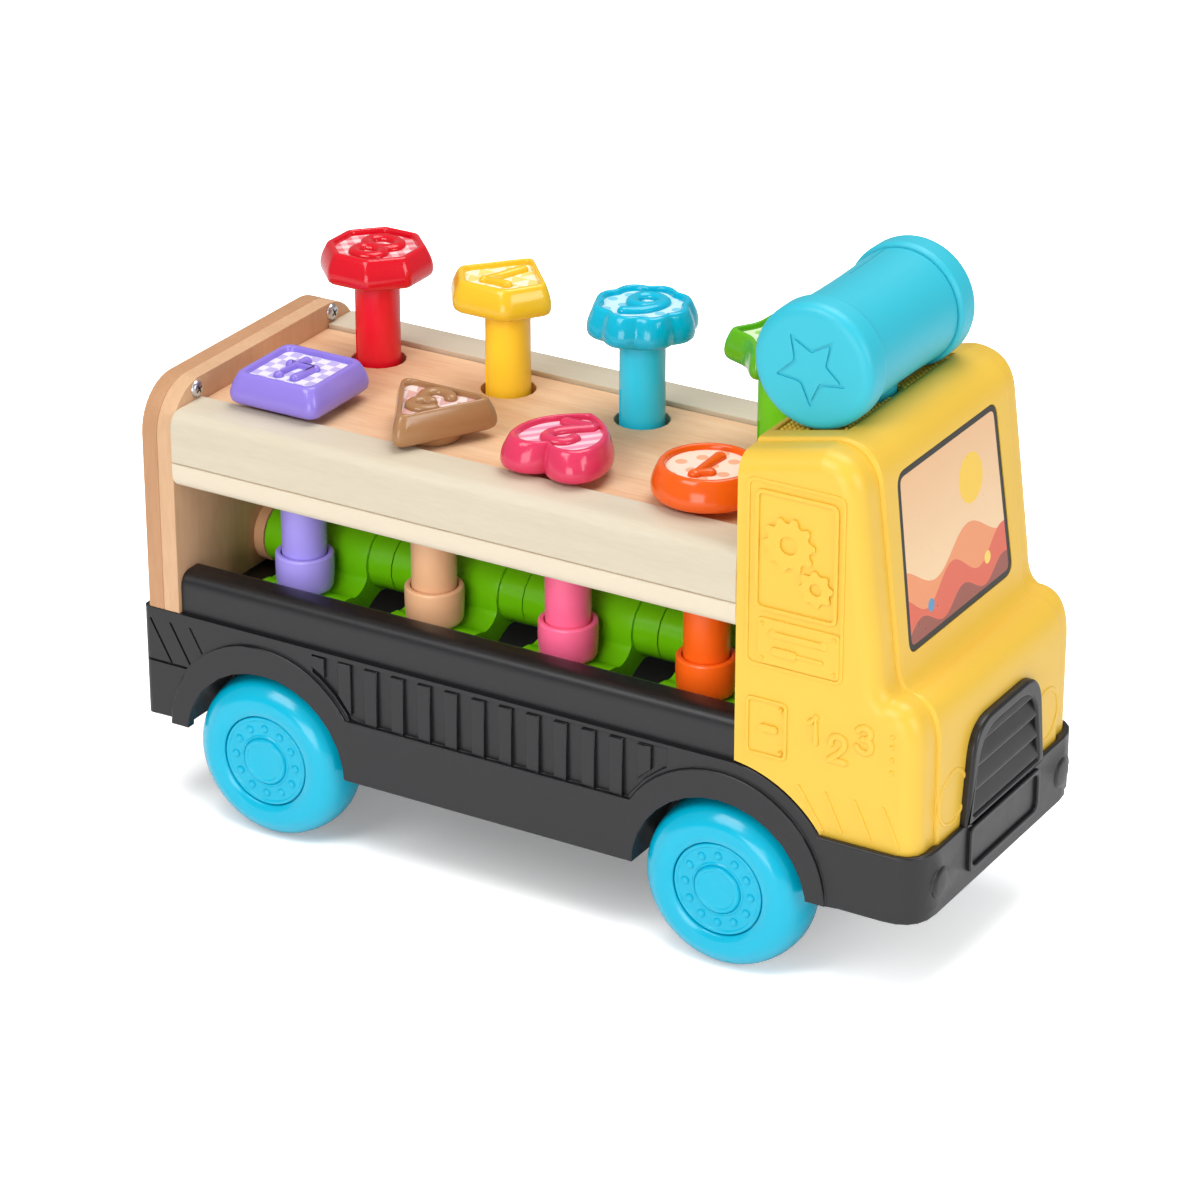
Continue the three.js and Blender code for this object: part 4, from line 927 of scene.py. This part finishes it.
# small beads on the bed under the mallet
bead = dict(
    radius=0.85, rows=11, columns=36, pitchX=2.32, pitchY=2.24, startX=1.4, startY=1.2, edge=1.0, clear=1.2)
deselectAll()
bpy.ops.mesh.primitive_ico_sphere_add(subdivisions=2, radius=bead["radius"] * mm)
beadForm = added("beadForm")
beadForm.data.polygons.foreach_set("use_smooth", [True] * len(beadForm.data.polygons))
cabParts = [cabBody]
for row in range(bead["rows"]):
    x = bedLow + bead["startX"] + row * bead["pitchX"]
    for column in range(bead["columns"]):
        y = -cab["bedHalf"] + bead["startY"] + (column + 0.5 * (row % 2)) * bead["pitchY"]
        nearHole = math.hypot(x - cab["holeX"], y) < cab["hole"] + bead["clear"]
        if y > cab["bedHalf"] - bead["edge"] or nearHole:
            continue
        drop = mallet["z"] - math.sqrt(max(cab["cradle"] ** 2 - (x - mallet["x"]) ** 2, 0))
        z = min(roofZ(x) - cab["bedDepth"], drop)
        cabParts.append(copyPiece(beadForm, "bead", shifted(x, y, z)))
bpy.data.objects.remove(beadForm)
settle(joinAll("cab", cabParts), "truck", "yellow_plastic", yellowLook, "cab_shell")
print("cab done")

# windscreen: a printed panel with a dark edge
panel = pushOut("screen", screenOutline(0, screen["round"]), "X", screen["back"], screen["thick"])
pick(panel, "FACE", lambda c, n: n.x > 0.9)
bpy.ops.mesh.inset(thickness=screen["edge"] * mm, depth=0)
leaveEdit()
panel.data.transform(screenTilt)
# the print in metres: place and radius of discs, and level, height, pitch and shift of waves
sky = dict(low=0.125, high=0.182, pale=(252, 222, 178), deep=(238, 190, 140))
inks = [
    ("disc", (0.014, 0.165, 0.0085), (250, 204, 60)), ("wave", (0.146, 0.005, 130.0, 0.4), (240, 150, 96)),
    ("wave", (0.138, 0.0045, 170.0, 2.2), (226, 96, 66)),
    ("wave", (0.129, 0.003, 210.0, 1.0), (150, 70, 52)),
    ("disc", (-0.02, 0.1335, 0.0022), (70, 150, 196)), ("disc", (0.021, 0.1345, 0.0022), (250, 214, 90))]


def screenLook():
    look, tree, shader, coordinates = newLook("screenPrint")
    _, y, z = splitAxes(tree, coordinates)

    def wave(level, height, pitch, shift):
        swing = mathNode(tree, "SINE", scaled(tree, y, pitch, shift))
        return mathNode(tree, "LESS_THAN", z, scaled(tree, swing, height, level))

    def disc(cy, cz, radius):
        return mathNode(tree, "LESS_THAN", farSquared(tree, (y, z), (cy, cz)), radius * radius)

    fade = mapRange(tree, z, {"From Min": sky["low"], "From Max": sky["high"]})
    colour = mixColour(tree, fade, paint(sky["pale"]), paint(sky["deep"]))
    for kind, values, ink in inks:
        mask = disc(*values) if kind == "disc" else wave(*values)
        colour = mixColour(tree, mask, colour, paint(ink))
    skin(tree, shader, coordinates, colour, 0.3, 0.03, 0.02)
    return look


settle(panel, "truck", "printed_panel", frameLook, "windscreen")
panel.data.materials.append(screenLook())
for face in panel.data.polygons:
    if face.normal.x > 0.9 and len(face.vertices) > 8:
        face.material_index = 1
print("windscreen done")

# cab side reliefs, drawn on the flat of each side as (x, z)
relief = {
    "sunk": 0.4,
    # name, low and high corner, rounding, width of the bar, rise
    "frames": [("win", (86.8, 116.6), (122.8, 183.0), 3.5, 1.3, 0.5),
               ("winInner", (90.2, 137.2), (120.4, 179.6), 3.0, 1.4, 0.9),
               ("tools", (91.6, 118.4), (121.6, 134.6), 1.6, 0, 0.7),
               ("flap", (87.6, 84.4), (103.0, 105.4), 2.4, 1.2, 0.7)],
    # name, centre, radius, teeth, rise
    "cogs": [("cog", 102.6, 162.0, 9.6, 10, 0.9), ("cogSmall", 112.6, 148.8, 6.4, 8, 0.9)],
    # name, start, end, width, rise
    "bars": [("spanner", (97.6, 129.6), (115.6, 129.6), 2.2, 1.4),
             ("driver", (97.0, 123.6), (106.4, 123.6), 3.0, 1.4),
             ("blade", (106.0, 123.6), (116.0, 123.6), 1.3, 1.2),
             ("grip", (93.0, 95.0), (99.6, 95.0), 2.6, 1.0)],
    # name, radius, rise, places
    "bumps": [("jaw", 2.3, 1.3, [(97.4, 129.6), (115.8, 129.6)]),
              ("rivet", 0.9, 1.4, [(93.4, 120.4), (93.4, 132.6), (119.8, 120.4), (119.8, 132.6),
                                   (100.6, 87.0), (100.6, 102.8)]),
              ("dot", 0.9, 0.8, [(141.4, 90.5), (141.4, 95.1), (141.4, 99.7), (141.4, 103.4)])],
    "slants": [((107.4, 77.2), (117.0, 62.6)), ((117.4, 77.2), (123.8, 63.8)), ((128.1, 77.2), (134.5, 63.9)),
               ((138.6, 77.2), (144.8, 63.7))],
    "slantWidth": 0.9, "slantRise": 0.5,
    # figure, place and height
    "figures": [("1", 113.2, 98.7, 11.5), ("2", 121.5, 93.8, 11.0), ("3", 131.0, 99.7, 10.5)],
    "figureSpan": 244.2, "stroke": 1.25, "figureRise": 1.0, "lampY": 34.6, "lampZ": 74.2,
}
lampRim = softCorners([(8.6, -0.6, 0), (10.3, -0.6, 0), (10.2, 0.25, 0.3), (9.3, 0.5, 0.3), (8.7, 0.2, 0.2)],
                      steps=3)


def sidePlate(sign, name, outline, rise, edge, hollow=None):
    sunk = relief["sunk"]
    obj = pushOut(name, outline, "Y", sign * (cab["half"] - sunk), sign * (sunk + rise))
    if hollow:
        cutAway(obj, pushOut("hollow", hollow, "Y", sign * 50, sign * 14))
    softEdges(obj, edge)
    smooth(obj)
    return obj


def sideFrame(sign, name, low, high, roundness, bar, rise):
    (x0, z0), (x1, z1) = low, high

    def ring(inset, size):
        left, right, foot, top = x0 + inset, x1 - inset, z0 + inset, z1 - inset
        return softCorners([(left, foot), (right, foot), (right, top), (left, top)], size, 6)

    hollow = ring(bar, max(roundness - bar, 0.4)) if bar else None
    return sidePlate(sign, name, ring(0, roundness), rise, 0.35, hollow)


def sideBump(sign, name, x, z, radius, rise):
    profile = softCorners([(0, -0.6, 0), (radius, -0.6, 0), (radius, 0.0, 0.1),
                           (radius * 0.6, rise, radius * 0.3), (0, rise, 0)], steps=3)
    obj = spinProfile(name, profile, "Y", (0, 0, 0), 20)
    obj.data.transform(shifted(x, sign * cab["half"], z) @ facing(sign, "X"))
    tidyMesh(obj)
    smooth(obj, 50, False)
    return obj


def sideBar(sign, name, start, end, width, rise):
    start, end = Vector(start), Vector(end)
    along = (end - start).normalized()
    across = Vector((-along.y, along.x)) * width / 2
    corners = [tuple(c) for c in (start + across, start - across, end - across, end + across)]
    return sidePlate(sign, name, softCorners(corners, width * 0.48, 5), rise, 0.25)


def cog(sign, name, x, z, radius, teeth, rise):
    wave = polar(teeth * 4, lambda i, a: radius if i % 4 in (0, 1) else radius * 0.8)
    outline = [(x + a, z + b) for a, b in softCorners(wave, 0.5, 3)]
    bore = [(x + a, z + b) for a, b in polar(32, lambda i, a: radius * 0.34)]
    return sidePlate(sign, name, outline, rise, 0.3, bore)


upright = Matrix.Rotation(math.pi / 2, 4, "X")
for side, sign in sides.items():
    parts = [sideFrame(sign, *row) for row in relief["frames"]]
    parts += [cog(sign, *row) for row in relief["cogs"]]
    parts += [sideBar(sign, *row) for row in relief["bars"]]
    for name, radius, rise, places in relief["bumps"]:
        parts += [sideBump(sign, name, x, z, radius, rise) for x, z in places]
    slant = relief["slantWidth"], relief["slantRise"]
    parts += [sideBar(sign, "slant", *ends, *slant) for ends in relief["slants"]]
    for text, x, z, height in relief["figures"]:
        figure = digit("sideFigure", text, height, relief["stroke"], relief["figureRise"])
        x = x if sign < 0 else relief["figureSpan"] - x  # both sides read from left to right
        figure.data.transform(shifted(x, sign * cab["half"], z) @ facing(-sign) @ upright)
        parts.append(figure)
    place = (cab["nose"], sign * relief["lampY"], relief["lampZ"])
    parts.append(spinProfile("lampRim", lampRim, "X", place, 64))
    smooth(parts[-1], 40, False)
    settle(joinAll(f"relief_{side}", parts), "truck", "yellow_plastic", yellowLook)
print("reliefs done")

# mallet: waisted barrel, two caps with a star groove, and the handle
centre = (mallet["x"], 0, mallet["z"])
half, capEnd = mallet["half"], mallet["half"] + mallet["capLength"]
waist = [(mallet["waist"] + (mallet["end"] - mallet["waist"]) * (y / half) ** 2, y)
         for y in (-half + 2 * half * k / 16 for k in range(1, 16))]
barrelProfile = [(mallet["lip"], -half), (mallet["rim"], 0.5 - half), *waist, (mallet["rim"], half - 0.5),
                 (mallet["lip"], half), (mallet["bore"], half), (mallet["bore"], -half)]
barrel = spinProfile("barrel", barrelProfile, "Y", centre, 96)
cutAway(barrel, rod("neck", mallet["neck"], "Z", (mallet["x"], 0, mallet["z"] - 20), 40, 48))
seam = block("seam", mallet["seamLow"], mallet["seamHigh"])
seam.data.transform(shifted(*centre) @ Matrix.Rotation(mallet["seamTurn"], 4, "Y"))
cutAway(barrel, seam)
smooth(barrel)
settle(barrel, "mallet", "mallet_plastic", malletLook, "mallet_barrel")
capProfile = softCorners([(0, half, 0), (20.3, half, 0.2), (20.9, 26.1, 0.4), (mallet["cap"], 27.4, 1.1),
                          (21.6, capEnd, 4.4), (0, capEnd, 0)], steps=10)
starGroove = dict(outer=(13.6, 6.5, 1.4), inner=(11.2, 5.3, 1.0), floor=37.4)


def starOutline(tip, notch, roundness):
    return softCorners(polar(10, lambda i, a: notch if i % 2 else tip, -math.pi / 2), roundness, 4)


for side, sign in sides.items():
    cap = spinProfile(f"strike_{side}", capProfile, "Y", (0, 0, 0), 96)
    star = pushOut("star", starOutline(*starGroove["outer"]), "Y", starGroove["floor"], 2)
    cutAway(star, pushOut("starCore", starOutline(*starGroove["inner"]), "Y", 36, 5))
    cutAway(cap, star)
    softEdges(cap, 0.22, 50, 2)
    cap.data.transform(shifted(*centre) @ facing(sign))
    smooth(cap, 30)
    settle(cap, "mallet", "mallet_plastic", malletLook, f"mallet_cap_{side}")
gripProfile = softCorners([
    (0, 88.8, 0), (10.0, 88.8, 4.0), (10.5, 110.0, 4.0), (10.5, 222.7, 0.5), (0, 222.7, 0)], steps=6)
grip = spinProfile("grip", gripProfile, "Z", (mallet["x"], 0, 0), 64)
smooth(grip, 40, False)
settle(grip, "mallet", "mallet_plastic", malletLook, "mallet_handle")
print("mallet done")

# floor: white paper that keeps the shadow; to the camera it glows brighter away from the truck, and the
# weaker glow near the truck is painted shade
paper = {"size": 30, "shift": (0.12, 0, 0), "mirrored": 0.12, "unseen": (0.5, 0.5, 0.5, 1),
         "seen": (0.86, 0.86, 0.86, 1),
         "glowWithPaintedShade": {"From Min": 0.13, "From Max": 0.4, "To Min": 0.22, "To Max": 0.9}}
deselectAll()
bpy.ops.mesh.primitive_plane_add(size=paper["size"], location=(0, 0, 0))
floor = added("floor")
floorLook, tree, shader, coordinates = newLook("floorPaper")
path = tree.nodes.new("ShaderNodeLightPath").outputs
away = tree.nodes.new("ShaderNodeVectorMath")
away.operation = "LENGTH"
tree.links.new(mapped(tree, coordinates, shift=paper["shift"]), away.inputs[0])
# painted shade: the camera-ray glow is weaker near the truck, so the floor around it reads darker
reach = mapRange(tree, away.outputs["Value"], paper["glowWithPaintedShade"], "SMOOTHSTEP")
direct = mathNode(tree, "MULTIPLY", path["Is Camera Ray"], reach)
mirrored = mathNode(tree, "MULTIPLY", path["Is Glossy Ray"], paper["mirrored"])
glowWithPaintedShade = tree.nodes.new("ShaderNodeEmission")
feedAll(tree, glowWithPaintedShade.inputs, {"Color": (1, 1, 1, 1), "Strength": mathNode(tree, "MAXIMUM", direct, mirrored)})
feedAll(tree, shader.inputs, {
    "Base Color": mixColour(tree, path["Is Camera Ray"], paper["unseen"], paper["seen"]), "Roughness": 0.9,
    "Specular IOR Level": 0.0})
blend = tree.nodes.new("ShaderNodeAddShader")
tree.links.new(shader.outputs[0], blend.inputs[0])
tree.links.new(glowWithPaintedShade.outputs[0], blend.inputs[1])
tree.links.new(blend.outputs[0], tree.nodes["Material Output"].inputs[0])
floor.data.materials.append(floorLook)
floor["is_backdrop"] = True

# light and camera
world = bpy.data.worlds.new("studio")
scene.world = world
world.use_nodes = True
feedAll(world.node_tree, world.node_tree.nodes["Background"].inputs, {"Color": (1, 1, 1, 1), "Strength": 0.3})


def aim(place, target):
    return (Vector(target) - Vector(place)).to_track_quat("-Z", "Y").to_euler()


# place, size and power of each lamp
lamps = {
    "key": ((-0.4, -1.35, 1.5), 1.0, 17.0), "fill": ((1.7, -0.35, 0.75), 0.8, 10.0),
    "top": ((0.1, 0.5, 1.8), 1.2, 20.0), "front": ((0.3, -1.7, 0.26), 0.8, 9.0),
    "under": ((0.25, -1.2, 0.8), 0.5, 10.0), "paper": ((0.2, -0.5, 1.7), 0.9, 38.0),
}
litAlone = {name: bpy.data.collections.new(f"{name}Lit") for name in ("under", "paper")}
litAlone["paper"].objects.link(floor)
for obj in scene.objects:
    if obj.name.startswith(("shaft_", "cap_", "seesaw_", "ring_")):
        litAlone["under"].objects.link(obj)
for name, (place, size, power) in lamps.items():
    bpy.ops.object.light_add(type="AREA", location=place)
    lamp = added(name)
    lamp.data.size = size
    lamp.data.energy = power
    lamp.rotation_euler = aim(place, (0, 0, 0.1))
    if name in litAlone:
        lamp.light_linking.receiver_collection = litAlone[name]

view = dict(place=(0.7290, -1.2269, 0.7647), target=(-0.0016, -0.0011, 0.0948), lens=136.91)
bpy.ops.object.camera_add(location=view["place"])
camera = bpy.context.object
camera.rotation_euler = aim(view["place"], view["target"])
camera.data.lens = view["lens"]
camera.data.sensor_width = 36
camera.data.clip_start = 0.05
scene.camera = camera
scene.view_settings.view_transform = "Standard"

low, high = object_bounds()
print("stage set")
